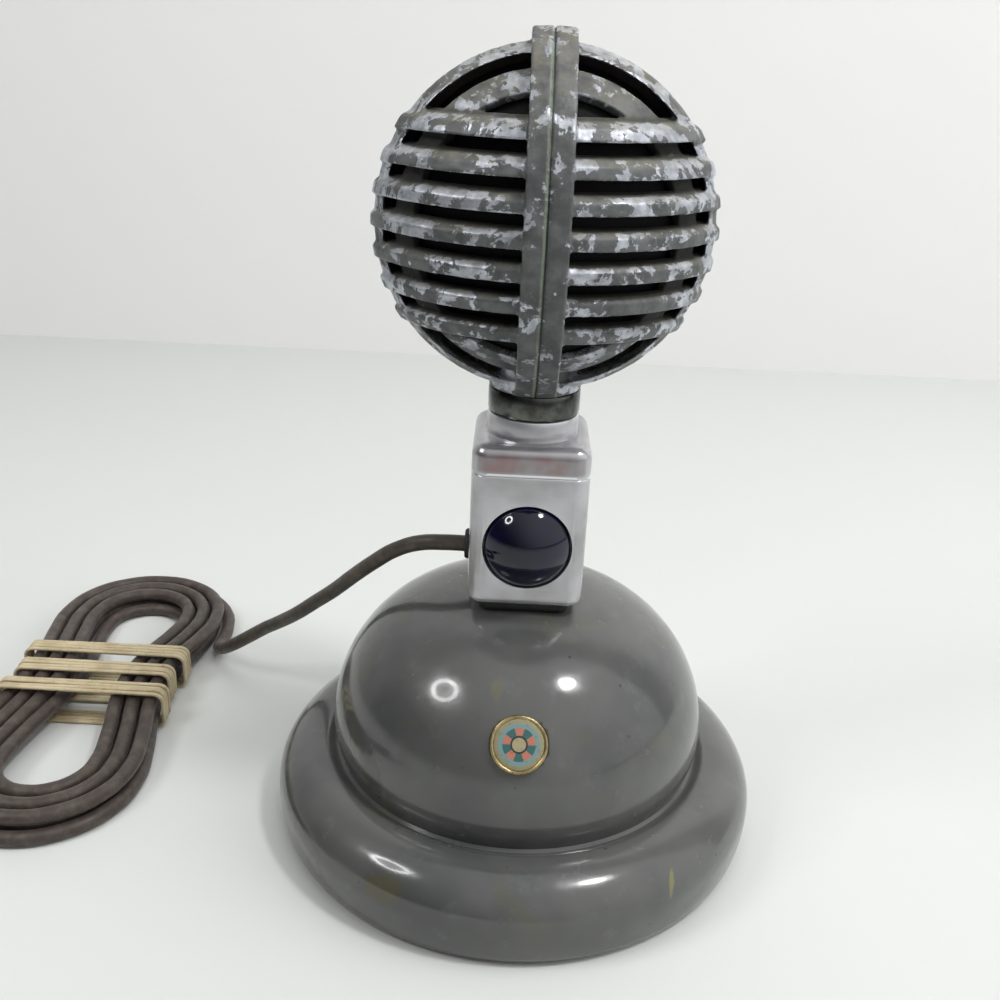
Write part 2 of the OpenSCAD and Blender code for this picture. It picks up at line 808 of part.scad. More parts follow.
module return_spring() {
    wire = spring_wire / 2;
    y0 = button_back_y + wire + slide_clear;
    y1 = guide_y - wire - slide_clear;
    steps = 12 * spring_turns;
    coil = [for (i = [0:steps]) let (a = 360 * i * spring_turns / steps)
        [spring_d / 2 * cos(a), y0 + (y1 - y0) * i / steps, spring_d / 2 * sin(a)]];
    color("silver") translate([0, 0, button_z]) tube(coil, wire, 6, [0, 1, 0]);
}

module guide_plate() {
    half = inner_w + guide_groove - slide_clear;
    color("darkgray") difference() {
        translate([-half, guide_y, floor_z])
            cube([2 * half, guide_t, part_z - floor_z - hole_clear]);
        translate([0, 0, button_z]) along_y(guide_y - cut)
            cylinder(r = plunger_r + slide_clear, h = guide_t + 2 * cut, $fn = fine_fn);
        at_stack_screws() along_y(guide_y - cut)
            cylinder(r = stack_screw_r, h = guide_t + 2 * cut, $fn = fine_fn);
    }
}

module at_stack_screws() {
    for (x = [-1, 1])
        translate([x * stack_screw_x, 0, (leaf_pivot_z + stack_top_z) / 2]) children();
}

module stack_block(y0, y1) {
    difference() {
        translate([-stack_half_w, y0, leaf_pivot_z])
            cube([2 * stack_half_w, y1 - y0, stack_h]);
        at_stack_screws() along_y(y0 - cut)
            cylinder(r = stack_screw_r + slide_clear, h = y1 - y0 + 2 * cut, $fn = fine_fn);
    }
}

module contact_stack() {
    color("sienna") {
        stack_block(guide_y + guide_t, leaf_y);
        stack_block(leaf_y + leaf_t, fixed_leaf_y);
        stack_block(stack_back_y, stack_back_y + stack_back_t);
    }
}

module stack_screws() {
    back = stack_back_y + stack_back_t;
    color("silver") at_stack_screws() {
        along_y(guide_y) cylinder(r = stack_screw_r, h = back - guide_y, $fn = fine_fn);
        along_y(back) cylinder(r = stack_screw_head_r, h = stack_screw_head_t, $fn = fine_fn);
    }
}

module moving_leaf() {
    color("peru") translate([-leaf_w / 2, leaf_y, leaf_bottom_z])
        cube([leaf_w, leaf_t, leaf_pivot_z - slide_clear - leaf_bottom_z]);
}

module moving_contact() {
    color("white") translate([0, 0, contact_z]) along_y(leaf_y + leaf_t)
        cylinder(r = contact_r, h = contact_t, $fn = fine_fn);
}

module moving_leaf_root() {
    color("peru") translate([-tail_w / 2, leaf_y, leaf_pivot_z])
        cube([tail_w, leaf_t, stack_h + tail_h]);
}

module fixed_leaf() {
    color("peru") {
        translate([-tail_w / 2, fixed_leaf_y, leaf_pivot_z])
            cube([tail_w, fixed_leaf_t, stack_h + tail_h]);
        translate([-leaf_w / 2, fixed_leaf_y, leaf_bottom_z])
            cube([leaf_w, fixed_leaf_t, leaf_pivot_z - slide_clear - leaf_bottom_z]);
        translate([-tail_w / 2, fixed_leaf_y, leaf_pivot_z - cut])
            cube([tail_w, fixed_leaf_t, 2 * cut]);
    }
}

module fixed_contact() {
    color("white") translate([0, 0, contact_z]) along_y(fixed_contact_y)
        cylinder(r = contact_r, h = contact_t, $fn = fine_fn);
}

module socket_insulator() {
    color("sienna") translate([0, 0, cap_cavity_z]) difference() {
        cylinder(r = bush_r, h = thread_top_z - cap_cavity_z, $fn = fine_fn);
        translate([0, 0, -cut])
            cylinder(r = socket_r, h = thread_top_z - cap_cavity_z + 2 * cut, $fn = fine_fn);
    }
}

module socket_contact() {
    height = thread_top_z - socket_sunk - socket_tail_z;
    color("gold") translate([0, 0, socket_tail_z]) difference() {
        cylinder(r = socket_r, h = height, $fn = fine_fn);
        translate([0, 0, socket_floor])
            cylinder(r = pin_r + slide_clear, h = height, $fn = fine_fn);
    }
}

module switch_wires() {
    tail_z = stack_top_z + tail_h - 0.8;
    solder_z = socket_tail_z + wire_r;
    riser_x = -stack_half_w - wire_r - 0.6;
    leaf_mid_y = leaf_y + leaf_t / 2;
    color("firebrick") {
        tube([
            [0, socket_r, solder_z],
            [0, socket_r + 2, solder_z],
            [0, fixed_leaf_y - 2.6, tail_z + 0.6],
            [0, fixed_leaf_y - 1, tail_z],
            [0, fixed_leaf_y, tail_z]
        ], wire_r, 8, [1, 0, 0]);
        tube([
            [cord_inner_x, cord_y, cord_z],
            [cord_inner_x + 0.6, cord_y, cord_z],
            [cord_inner_x + 1.4, cord_y, cord_z + 1],
            [riser_x - 0.4, cord_y, cord_z + 6],
            [riser_x - 0.6, cord_y, leaf_pivot_z - 4],
            [riser_x, leaf_mid_y, stack_top_z - 1],
            [riser_x + 0.8, leaf_mid_y, tail_z - 0.4],
            [riser_x + 2, leaf_mid_y, tail_z],
            [-tail_w / 2, leaf_mid_y, tail_z]
        ], wire_r, 8, [0, 1, 0]);
    }
}

module cord_grommet() {
    inner_rim = 1.2;
    color("black") translate([grommet_out_x, cord_y, cord_z]) rotate([0, 90, 0]) difference() {
        union() {
            cylinder(r = grommet_rim_r, h = grommet_rim_t, $fn = fine_fn);
            cylinder(r = grommet_r, h = grommet_rim_t + case_wall + inner_rim, $fn = fine_fn);
            translate([0, 0, grommet_rim_t + case_wall])
                cylinder(r = grommet_rim_r, h = inner_rim, $fn = fine_fn);
        }
        translate([0, 0, -cut])
            cylinder(r = cord_r, h = grommet_rim_t + case_wall + inner_rim + 2 * cut, $fn = fine_fn);
    }
}

module cord_inner_end() {
    color("olive") translate([grommet_out_x, cord_y, cord_z]) rotate([0, 90, 0])
        cylinder(r = cord_r, h = cord_inner_x - grommet_out_x, $fn = fine_fn);
}

// Neck

module coupling_ring() {
    color("slategray") difference() {
        translate([0, 0, ring_z]) cylinder(r = ring_r, h = ring_h, $fn = round_fn);
        translate([0, 0, ring_z - cut])
            cylinder(r = stud_r + thread_clear, h = lip_z - ring_z + cut, $fn = round_fn);
        translate([0, 0, lip_z - cut])
            cylinder(r = sleeve_r + slide_clear, h = ring_lip + 2 * cut, $fn = round_fn);
    }
}

module connector_sleeve() {
    color("silver") difference() {
        union() {
            translate([0, 0, thread_top_z]) cylinder(r = flange_r, h = flange_t, $fn = round_fn);
            translate([0, 0, thread_top_z])
                cylinder(r = sleeve_r, h = sleeve_top_z - thread_top_z, $fn = round_fn);
        }
        translate([0, 0, thread_top_z - cut])
            cylinder(r = sleeve_bore_r, h = sleeve_top_z - thread_top_z + 2 * cut, $fn = fine_fn);
    }
}

module sleeve_nut() {
    color("gold") translate([0, 0, neck_top_z]) difference() {
        cylinder(r = sleeve_nut_r, h = sleeve_nut_t, $fn = round_fn);
        translate([0, 0, -cut])
            cylinder(r = sleeve_r + thread_clear, h = sleeve_nut_t + 2 * cut, $fn = round_fn);
    }
}

module sleeve_insulator() {
    color("sienna") translate([0, 0, pin_insulator_z]) difference() {
        cylinder(r = sleeve_bore_r, h = pin_insulator_t, $fn = fine_fn);
        translate([0, 0, -cut]) cylinder(r = pin_r, h = pin_insulator_t + 2 * cut, $fn = fine_fn);
    }
}

module contact_pin() {
    pin_top_z = pin_insulator_z + pin_insulator_t;
    color("gold") {
        translate([0, 0, pin_bottom_z])
            cylinder(r = pin_r, h = pin_top_z + pin_head_t - pin_bottom_z, $fn = fine_fn);
        translate([0, 0, pin_top_z]) cylinder(r = pin_head_r, h = pin_head_t, $fn = fine_fn);
    }
}

// Head

module head_place() {
    translate([0, 0, head_z]) children();
}

// The outer form of the head: two shallow balls that meet in a straight rim.
module lens(grow) {
    intersection() {
        translate([0, face_shift, 0]) sphere(r = face_r + grow, $fn = round_fn);
        translate([0, -face_shift, 0]) sphere(r = face_r + grow, $fn = round_fn);
        rotate([90, 0, 0])
            cylinder(r = head_r + grow, h = head_depth + 4 * cut, center = true, $fn = round_fn);
    }
}

module disc_y(r, t) {
    rotate([90, 0, 0]) cylinder(r = r, h = t, center = true, $fn = round_fn);
}

module rib_slabs() {
    for (i = [0:rib_count - 1])
        translate([0, 0, (i - (rib_count - 1) / 2) * rib_pitch])
            cube([2 * head_d, 2 * head_d, rib_h], center = true);
}

module ribs() {
    difference() {
        intersection() {
            lens(0);
            rib_slabs();
        }
        lens(-rib_t);
    }
}

module rim() {
    difference() {
        lens(-rib_proud);
        disc_y(rim_inner_r, 2 * head_d);
    }
}

module back_ring() {
    difference() {
        intersection() {
            lens(back_ring_bite - rib_t);
            disc_y(back_ring_r, 2 * head_d);
        }
        lens(-rib_t - back_ring_t);
        disc_y(back_ring_r - back_ring_w, 2 * head_d);
    }
}

module spine() {
    difference() {
        intersection() {
            lens(spine_proud);
            cube([spine_w, 2 * head_d, 2 * head_d], center = true);
        }
        lens(-web_depth);
        difference() {
            cube([seam_groove_w, 2 * head_d, 2 * head_d], center = true);
            lens(spine_proud - seam_groove_t);
        }
    }
}

module at_shell_screws() {
    for (y = [-1, 1]) for (z = [-1, 1])
        translate([0, y * shell_screw_y, z * shell_screw_z]) rotate([0, 90, 0]) children();
}

module neck_boss() {
    translate([0, 0, neck_z - head_z]) cylinder(r = ring_r, h = neck_boss_h, $fn = round_fn);
}

// One casting of the head. side is -1 for the left half and 1 for the right.
module half_shell(side) {
    half_box = head_d;
    head_place() difference() {
        intersection() {
            union() {
                ribs();
                rim();
                back_ring();
                spine();
                neck_boss();
            }
            translate([side * half_box / 2, 0, 0])
                cube([half_box, 2 * half_box, 2 * half_box], center = true);
        }
        disc_y(baffle_r + slide_clear, baffle_t + 2 * slide_clear);
        translate([0, 0, neck_z - head_z - half_box])
            cylinder(r = ring_r + ring_room, h = half_box, $fn = round_fn);
        translate([0, 0, neck_z - head_z - cut])
            cylinder(r = sleeve_r, h = half_box / 2, $fn = round_fn);
        translate([0, 0, neck_top_z - head_z])
            cylinder(r = sleeve_nut_r + nut_room, h = half_box / 4, $fn = round_fn);
        at_shell_screws() {
            translate([0, 0, -spine_w])
                cylinder(r = shell_screw_r + thread_clear, h = 2 * spine_w, $fn = fine_fn);
            translate([0, 0, spine_w / 2 - shell_screw_head_t])
                cylinder(r = shell_screw_head_r + hole_clear, h = spine_w, $fn = fine_fn);
        }
    }
}

module left_shell() {
    color("gray") half_shell(-1);
}

module right_shell() {
    color("darkgray") half_shell(1);
}

module shell_screws() {
    color("silver") head_place() at_shell_screws() {
        translate([0, 0, 0.4 - spine_w / 2])
            cylinder(r = shell_screw_r, h = spine_w - 0.8, $fn = fine_fn);
        translate([0, 0, spine_w / 2 - shell_screw_head_t])
            cylinder(r = shell_screw_head_r, h = shell_screw_head_t - 0.2, $fn = fine_fn);
    }
}

module gauze(side) {
    edge = spine_w / 2 + gauze_room;
    head_place() difference() {
        intersection() {
            lens(-gauze_in);
            disc_y(gauze_r, 2 * head_d);
            translate([side * (head_d / 2 + edge), 0, 0])
                cube([head_d, 2 * head_d, 2 * head_d], center = true);
        }
        lens(-gauze_in - gauze_t);
        disc_y(head_r, baffle_t + 2 * gauze_room);
        translate([0, 0, -head_r])
            cylinder(r = ring_r + 2 * gauze_room,
                h = neck_top_z - head_z + head_r + 2 * gauze_room, $fn = round_fn);
    }
}

module left_gauze() {
    color("black") gauze(-1);
}

module right_gauze() {
    color("black") gauze(1);
}

// Cartridge

module at_cartridge_screws() {
    for (a = [90:120:330]) rotate([0, -a, 0]) translate([cartridge_screw_place, 0, 0]) children();
}

module baffle_plate() {
    notch_r = ring_r + nut_room;
    notch_rise = 2.4;
    notch_top = sleeve_top_z + notch_rise - head_z;
    color("saddlebrown") head_place() difference() {
        disc_y(baffle_r, baffle_t);
        disc_y(cartridge_hole_r, baffle_t + 2 * cut);
        translate([0, 0, notch_top - head_r]) cylinder(r = notch_r, h = head_r, $fn = round_fn);
        at_cartridge_screws() along_y(-baffle_t)
            cylinder(r = cartridge_screw_r + slide_clear, h = 2 * baffle_t, $fn = fine_fn);
    }
}

module cartridge_gasket() {
    color("black") head_place() difference() {
        along_y(flange_back_y)
            cylinder(r = cartridge_flange_r, h = cartridge_gasket_t, $fn = round_fn);
        along_y(flange_back_y - cut)
            cylinder(r = cartridge_hole_r, h = cartridge_gasket_t + 2 * cut, $fn = round_fn);
        at_cartridge_screws() along_y(flange_back_y - cut)
            cylinder(r = cartridge_screw_r + slide_clear, h = cartridge_gasket_t + 2 * cut,
                $fn = fine_fn);
    }
}

module cartridge_case() {
    color("silver") head_place() difference() {
        union() {
            along_y(flange_front_y)
                cylinder(r = cartridge_flange_r, h = cartridge_flange_t, $fn = round_fn);
            along_y(flange_front_y)
                cylinder(r = cartridge_r, h = case_back_y - flange_front_y, $fn = round_fn);
        }
        along_y(flange_front_y - cut)
            cylinder(r = cartridge_r - cartridge_wall, h = cavity_back_y - flange_front_y + cut,
                $fn = round_fn);
        at_cartridge_screws() along_y(flange_front_y - cut)
            cylinder(r = cartridge_screw_r + slide_clear, h = cartridge_flange_t + 2 * cut,
                $fn = fine_fn);
        for (x = [-1, 1]) translate([x * lug_x, 0, -lug_drop]) along_y(cavity_back_y - cut)
            cylinder(r = lug_r, h = cartridge_back_t + 2 * cut, $fn = fine_fn);
    }
}

module diaphragm() {
    rim_y = flange_front_y - diaphragm_t;
    flat_r = cartridge_r - 2 * cartridge_wall;
    color("gainsboro") head_place() rotate([-90, 0, 0]) rotate_extrude($fn = round_fn) polygon([
        [0, rim_y + diaphragm_dip],
        [flat_r, rim_y],
        [cartridge_hole_r, rim_y],
        [cartridge_hole_r, rim_y + diaphragm_t],
        [flat_r, rim_y + diaphragm_t],
        [0, rim_y + diaphragm_dip + diaphragm_t]
    ]);
}

module cartridge_cover() {
    seat_y = flange_front_y - diaphragm_t;
    face_y = seat_y - cover_gap - cover_face_t;
    ring_y = seat_y - cover_front_t;
    ring_step = 5.2;
    dome_step = 0.6;
    hole_r = sound_hole_d / 2;
    hole_h = cover_face_t + 2 * cut;
    color("lightsteelblue") head_place() difference() {
        union() {
            along_y(ring_y) cylinder(r = cartridge_flange_r, h = cover_front_t, $fn = round_fn);
            along_y(face_y)
                cylinder(r = cartridge_r + dome_step, h = seat_y - face_y, $fn = round_fn);
        }
        along_y(face_y + cover_face_t)
            cylinder(r = cartridge_r - cartridge_wall, h = cover_gap + cut, $fn = round_fn);
        along_y(face_y - cut) cylinder(r = hole_r, h = hole_h, $fn = fine_fn);
        for (ring = [1:2]) for (k = [0:6 * ring - 1])
            rotate([0, 360 * k / (6 * ring), 0]) translate([ring * ring_step, 0, 0])
                along_y(face_y - cut) cylinder(r = hole_r, h = hole_h, $fn = fine_fn);
        at_cartridge_screws() along_y(ring_y - cut)
            cylinder(r = cartridge_screw_r + slide_clear, h = cover_front_t + 2 * cut, $fn = fine_fn);
    }
}

module drive_pin() {
    tip_y = flange_front_y + diaphragm_dip;
    color("goldenrod") head_place() along_y(tip_y)
        cylinder(r = drive_pin_r, h = crystal_front_y - tip_y, $fn = fine_fn);
}

module crystal_element() {
    color("aliceblue") head_place() translate([0, crystal_front_y, crystal_rise])
        rotate([0, 45, 0]) translate([-crystal_w / 2, 0, -crystal_w / 2])
            cube([crystal_w, crystal_t, crystal_w]);
}

module crystal_pads() {
    color("dimgray") head_place() for (x = [-1, 1])
        translate([x * pad_x, 0, crystal_rise]) along_y(crystal_back_y)
            cylinder(r = pad_r, h = pad_t, $fn = fine_fn);
}

module cartridge_screws() {
    front_y = flange_front_y - diaphragm_t - cover_front_t;
    back_y = -mount_y + cartridge_nut_t;
    color("silver") head_place() at_cartridge_screws() {
        along_y(front_y)
            cylinder(r = cartridge_screw_r, h = back_y + cartridge_screw_end - front_y, $fn = fine_fn);
        along_y(front_y - cartridge_screw_head_t)
            cylinder(r = cartridge_screw_head_r, h = cartridge_screw_head_t, $fn = fine_fn);
        along_y(-mount_y) cylinder(r = cartridge_nut_r, h = cartridge_nut_t, $fn = 6);
    }
}

module terminal_lugs() {
    color("gold") head_place() for (x = [-1, 1])
        translate([x * lug_x, 0, -lug_drop]) along_y(cavity_back_y - lug_inside)
            cylinder(r = lug_r, h = lug_l, $fn = fine_fn);
}

module head_leads() {
    lug_end_y = cavity_back_y - lug_inside + lug_l;
    lug_z = head_z - lug_drop;
    clear_y = case_back_y + wire_r + 1.2;
    clear_z = head_z - cartridge_r - wire_r;
    pin_top_z = pin_insulator_z + pin_insulator_t + pin_head_t;
    sleeve_mid_r = sleeve_r - sleeve_wall / 2;
    color("firebrick") {
        tube([
            [lug_x, lug_end_y, lug_z],
            [lug_x, lug_end_y + 0.8, lug_z],
            [lug_x, lug_end_y + 1.4, lug_z - 1.4],
            [lug_x, clear_y, lug_z - cartridge_r / 2],
            [lug_x - 1, clear_y - 0.6, clear_z],
            [1, pin_r + 3, sleeve_top_z + 1.6],
            [0, 0, sleeve_top_z - 1],
            [0, 0, pin_top_z + 2],
            [0, 0, pin_top_z]
        ], wire_r, 8, [1, 0, 0]);
        tube([
            [-lug_x, lug_end_y, lug_z],
            [-lug_x, lug_end_y + 0.8, lug_z],
            [-lug_x, lug_end_y + 1.4, lug_z - 1.4],
            [-lug_x - 1, clear_y, lug_z - cartridge_r / 2],
            [-lug_x - 2, clear_y - 0.6, clear_z],
            [-sleeve_mid_r, pin_r + 3, sleeve_top_z + 2.4],
            [-sleeve_mid_r, 0.4, sleeve_top_z + 1.6],
            [-sleeve_mid_r, 0, sleeve_top_z + 0.8],
            [-sleeve_mid_r, 0, sleeve_top_z]
        ], wire_r, 8, [1, 0, 0]);
    }
}

// Cord

function pinch(y) = waist_pinch * (1 + cos(180 * y / hank_half)) / 2;

// Loops outwards from the innermost, at a count of turns along the hank. It
// winds in, holds while one run climbs to the upper layer, and winds out.
function hank_loop(turn) = max(turns_in - turn, turn - turns_in - turns_climb, 0);

function hank_layer(turn) =
    let (climb = (turn - turns_in) / turns_climb)
    climb < 0 ? 0 : climb > 1 ? 1 : ease(climb);

// Point number k of the hank: half a fold and then a run, twice for each turn.
function hank_point(k) =
    let (
        half = floor(k / rings_half),
        j = k - half * rings_half,
        folds = rings_half / 2,
        turn = k / (2 * rings_half),
        side = half % 2 == 0 ? 1 : -1,
        r = fold_r + hank_loop(turn) * loop_step,
        a = 180 * min(j, folds) / folds,
        y = side * (j < folds ? hank_half + r * sin(a) : hank_half - run_l * (j - folds) / folds),
        x = side * (j < folds ? r * cos(a) : pinch(y) - r),
        lift = j < folds ? 0 : waist_lift * pinch(y) / waist_pinch
    )
    [hank_x + x, hank_y + y, cord_r + hank_layer(turn) * layer_rise + lift];

hank_rings = turns_all * 2 * rings_half;
hank_points = concat(
    [hank_point(0) - [0, hank_lead_in, 0]],
    [for (k = [0:hank_rings - 1]) hank_point(k)],
    [for (u = [0:0.25:1]) [plug_x, hank_y - hank_half - tail_l * u, plug_z]]
);

// Least gap between stretches of the hank more than a quarter turn apart.
hank_probe = [for (i = [0:len(hank_points) - 2]) for (u = [0:0.25:0.75])
    hank_points[i] * (1 - u) + hank_points[i + 1] * u];
probe_skip = 8 * rings_half / 2;
hank_self_gap = min([for (i = [0:len(hank_probe) - 1])
    for (j = [i + probe_skip:len(hank_probe) - 1]) norm(hank_probe[i] - hank_probe[j])]) - cord_d;

function route_length(p) =
    [for (i = 0, s = 0; i < len(p); i = i + 1, s = i < len(p) ? s + norm(p[i] - p[i - 1]) : s)
        s][len(p) - 1];

echo(
    hank_self_gap = hank_self_gap,
    lead = route_length(cord_route),
    hank = route_length(hank_points)
);

module cord_lead() {
    color("olive") tube(cord_route, cord_r, 8);
}

module cord_hank() {
    color("darkolivegreen") tube(hank_points, cord_r, 6);
}

module tie_bands() {
    color("beige") for (i = [0:band_count - 1]) {
        y = (i - (band_count - 1) / 2) * band_pitch;
        edge = abs(y) + band_w / 2;
        side_room = fold_r - pinch(edge) + cord_r + band_room;
        left = side_room + hank_loop(0.25) * loop_step;
        right = side_room + hank_loop(0.75) * loop_step;
        low = waist_lift * pinch(edge) / waist_pinch - band_room;
        high = 2 * cord_r + layer_rise + waist_lift + band_room;
        translate([hank_x + (right - left) / 2, hank_y + y + band_w / 2, (low + high) / 2])
            rotate([90, 0, 0]) linear_extrude(band_w) difference() {
                soft_square(left + right + 2 * band_t, high - low + 2 * band_t, cord_r + band_t);
                soft_square(left + right, high - low, cord_r);
            }
    }
}

module along_plug(y) {
    translate([plug_x, plug_y - y, plug_z]) rotate([90, 0, 0]) children();
}

module plug_shell() {
    color("black") along_plug(0) cylinder(r = plug_r, h = plug_l, $fn = round_fn);
}

module plug_barrel() {
    color("silver") {
        along_plug(plug_l) cylinder(r = plug_barrel_r, h = plug_barrel_l, $fn = fine_fn);
        along_plug(plug_l + plug_barrel_l + plug_ring_l) {
            cylinder(r1 = plug_barrel_r, r2 = plug_waist_r, h = plug_tip_l / 2, $fn = fine_fn);
            translate([0, 0, plug_tip_l / 2])
                cylinder(r1 = plug_ring_r, r2 = plug_barrel_r / 3, h = plug_tip_l / 2, $fn = fine_fn);
        }
    }
}

module plug_insulator() {
    color("black") along_plug(plug_l + plug_barrel_l)
        cylinder(r = plug_ring_r, h = plug_ring_l, $fn = fine_fn);
}

base_shell();
badge_rim();
badge_face();
badge_clip();
neck_gasket();
stand_stud();
stud_washer();
stud_nut();
tie_rod();
ballast_weight();
ballast_nut();
bottom_cover();
cover_screws();
felt_pad();
switch_body();
switch_cap();
case_screws();
button_cap();
button_plunger();
return_spring();
guide_plate();
contact_stack();
stack_screws();
moving_leaf();
moving_contact();
moving_leaf_root();
fixed_leaf();
fixed_contact();
socket_insulator();
socket_contact();
switch_wires();
cord_grommet();
cord_inner_end();
coupling_ring();
connector_sleeve();
sleeve_nut();
sleeve_insulator();
contact_pin();
left_shell();
right_shell();
shell_screws();
left_gauze();
right_gauze();
baffle_plate();
cartridge_gasket();
cartridge_case();
cartridge_cover();
diaphragm();
drive_pin();
crystal_element();
crystal_pads();
cartridge_screws();
terminal_lugs();
head_leads();
cord_lead();
cord_hank();
tie_bands();
plug_shell();
plug_barrel();
plug_insulator();
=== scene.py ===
# %% [markdown]
# # A crystal microphone on a table stand
# The object is a ribbed head of cast zinc on a push-to-talk switch, and the switch stands on a
# heavy enamelled bell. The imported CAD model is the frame: it says where each piece sits and
# how it moves. This file dresses it with smoother forms, worn finishes, a floor and soft light.

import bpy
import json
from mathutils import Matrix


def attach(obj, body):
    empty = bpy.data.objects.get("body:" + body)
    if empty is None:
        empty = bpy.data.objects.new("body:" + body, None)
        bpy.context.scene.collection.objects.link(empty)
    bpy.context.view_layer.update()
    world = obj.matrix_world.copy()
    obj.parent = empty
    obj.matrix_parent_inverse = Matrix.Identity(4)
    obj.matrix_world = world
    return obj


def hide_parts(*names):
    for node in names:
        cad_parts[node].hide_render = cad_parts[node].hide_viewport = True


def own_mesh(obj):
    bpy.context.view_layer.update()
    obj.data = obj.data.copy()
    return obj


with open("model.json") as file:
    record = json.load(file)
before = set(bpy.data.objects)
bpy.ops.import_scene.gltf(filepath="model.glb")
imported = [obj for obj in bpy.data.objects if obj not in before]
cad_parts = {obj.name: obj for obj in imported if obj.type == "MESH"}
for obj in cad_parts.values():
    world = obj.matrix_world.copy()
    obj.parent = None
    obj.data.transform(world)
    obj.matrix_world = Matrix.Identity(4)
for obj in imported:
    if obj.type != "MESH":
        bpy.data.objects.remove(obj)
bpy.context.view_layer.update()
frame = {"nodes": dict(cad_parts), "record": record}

# %% Sizes are typed in millimetres and used in metres
import json
from math import atan2, cos, pi, radians, sin, sqrt

import bmesh
import bpy
import numpy as np
from mathutils import Matrix, Vector, noise

MM = 0.001
scene = bpy.context.scene


def metres(points):
    """Points in millimetres as vectors in metres."""
    return [Vector(p) * MM for p in points]


# %% [markdown]
# ## The camera
# A product photograph of a small thing is taken from near by, so the lens sees the top of the
# base and the underside of the head at once. The place comes from fitting the base, the
# switch case and the head of the model to their outlines in the picture. The picture leans a
# little, so the camera is rolled and the object stays upright.

# %% Camera place and aim
camera_place = Vector((-5.3, -226.9, 177.7)) * MM
camera_yaw = radians(-0.3)
camera_pitch = radians(22.9)
camera_roll = radians(2.6)
sensor_width = 36
focal_ratio = 1.075

forward = Vector((
    sin(camera_yaw) * cos(camera_pitch),
    cos(camera_yaw) * cos(camera_pitch),
    -sin(camera_pitch),
))
level = Vector((cos(camera_yaw), -sin(camera_yaw), 0))
upright = level.cross(forward)
right = cos(camera_roll) * level + sin(camera_roll) * upright
up = cos(camera_roll) * upright - sin(camera_roll) * level

camera_data = bpy.data.cameras.new("camera")
camera_data.sensor_width = sensor_width
camera_data.lens = focal_ratio * sensor_width
camera_data.clip_start = 10 * MM
camera = bpy.data.objects.new("camera", camera_data)
scene.collection.objects.link(camera)
camera_turn = Matrix((right, up, -forward)).transposed().to_4x4()
camera.matrix_world = Matrix.Translation(camera_place) @ camera_turn
scene.camera = camera
print("Camera looks along", [round(c, 3) for c in forward])

# %% [markdown]
# ## The cord and its hank
# A rubber-covered two-wire cord leaves the left side of the switch case, falls to the table and
# runs into a bundle: its spare length is folded into a hank and held by rubber bands. The cord
# is one open curve with a round section, because a curve keeps its real length and can be
# measured. The points of the free stretch are typed from the CAD route, and a loop
# winds the hank by the same rule as the CAD: in, up one layer, and out again.

# %% Route of the free cord
cord_radius = 1.9
cord_route = [
    (-13.9, 3, 69.1), (-19, 3, 69.1), (-25, 4, 68.2), (-31, 6.8, 64.8), (-37, 11, 59),
    (-43, 16.5, 52), (-49, 22.5, 44.5), (-55, 27.5, 38), (-61, 32.5, 31.5), (-67, 38, 25.5),
    (-73, 43, 20), (-78.8, 46, 15), (-84, 49, 10.5), (-88, 53, 6.8), (-90.8, 57.8, 4),
    (-91.9, 62.5, 2.3), (-92, 67, 1.9),
]

# %% Rule of the hank
hank_x, hank_y = -118.35, 33
hank_run, fold_radius = 76, 11.4
loop_step, layer_rise = 4.6, 4.3
turns_in, turns_climb = 3.25, 0.25
waist_pinch, waist_lift = 5, 1.9
points_per_half = 12
plug_x, plug_y, plug_z = -143.55, -29, 6.2


def pinch(y):
    """How far the runs draw in at a distance y from the middle of the hank."""
    return waist_pinch * (1 + cos(2 * pi * y / hank_run)) / 2


def hank_point(k):
    """Point k of the hank: half a fold and then a run, twice for each turn."""
    half, j = divmod(k, points_per_half)
    folds = points_per_half // 2
    turns_done = k / (2 * points_per_half)
    side = 1 if half % 2 == 0 else -1
    loop = max(turns_in - turns_done, turns_done - turns_in - turns_climb, 0)
    climb = min(max((turns_done - turns_in) / turns_climb, 0), 1)
    r = fold_radius + loop * loop_step
    if j < folds:
        y, x, lift = hank_run / 2 + r * sin(pi * j / folds), r * cos(pi * j / folds), 0
    else:
        y = hank_run / 2 - hank_run * (j - folds) / folds
        x = pinch(y) - r
        lift = waist_lift * pinch(y) / waist_pinch
    rise = (1 - cos(pi * climb)) / 2 * layer_rise
    return (hank_x + side * x, hank_y + side * y, cord_radius + rise + lift)


hank_count = int(4 * turns_in * points_per_half)
hank = [hank_point(k) for k in range(hank_count)]
tail = [(plug_x, y, plug_z) for y in (-5, -11, -17, -23, plug_y)]
cord_points = metres(cord_route + hank + tail)

# %% The cord as a round curve
cord_data = bpy.data.curves.new("cord", "CURVE")
cord_data.dimensions = "3D"
cord_data.resolution_u = 4
cord_data.bevel_depth = cord_radius * MM
cord_data.bevel_resolution = 4
cord_data.use_fill_caps = True
cord_line = cord_data.splines.new("BEZIER")
cord_line.bezier_points.add(len(cord_points) - 1)
for place, point in zip(cord_points, cord_line.bezier_points):
    point.co = place
    point.handle_left_type = point.handle_right_type = "AUTO"
cord = bpy.data.objects.new("cord", cord_data)
scene.collection.objects.link(cord)

# %% [markdown]
# ## Small helpers
# Every mesh below is made from points in millimetres, and lands in metres at its own place.
# A turned piece is a profile spun round an axis, because a lathe made the real one. A cast or
# moulded block is a stack of rounded squares, so its edges can be as soft as a mould leaves
# them. Both close at their ends, and their faces are turned outwards at the end.

# %% Mesh helpers
pole = 0.02


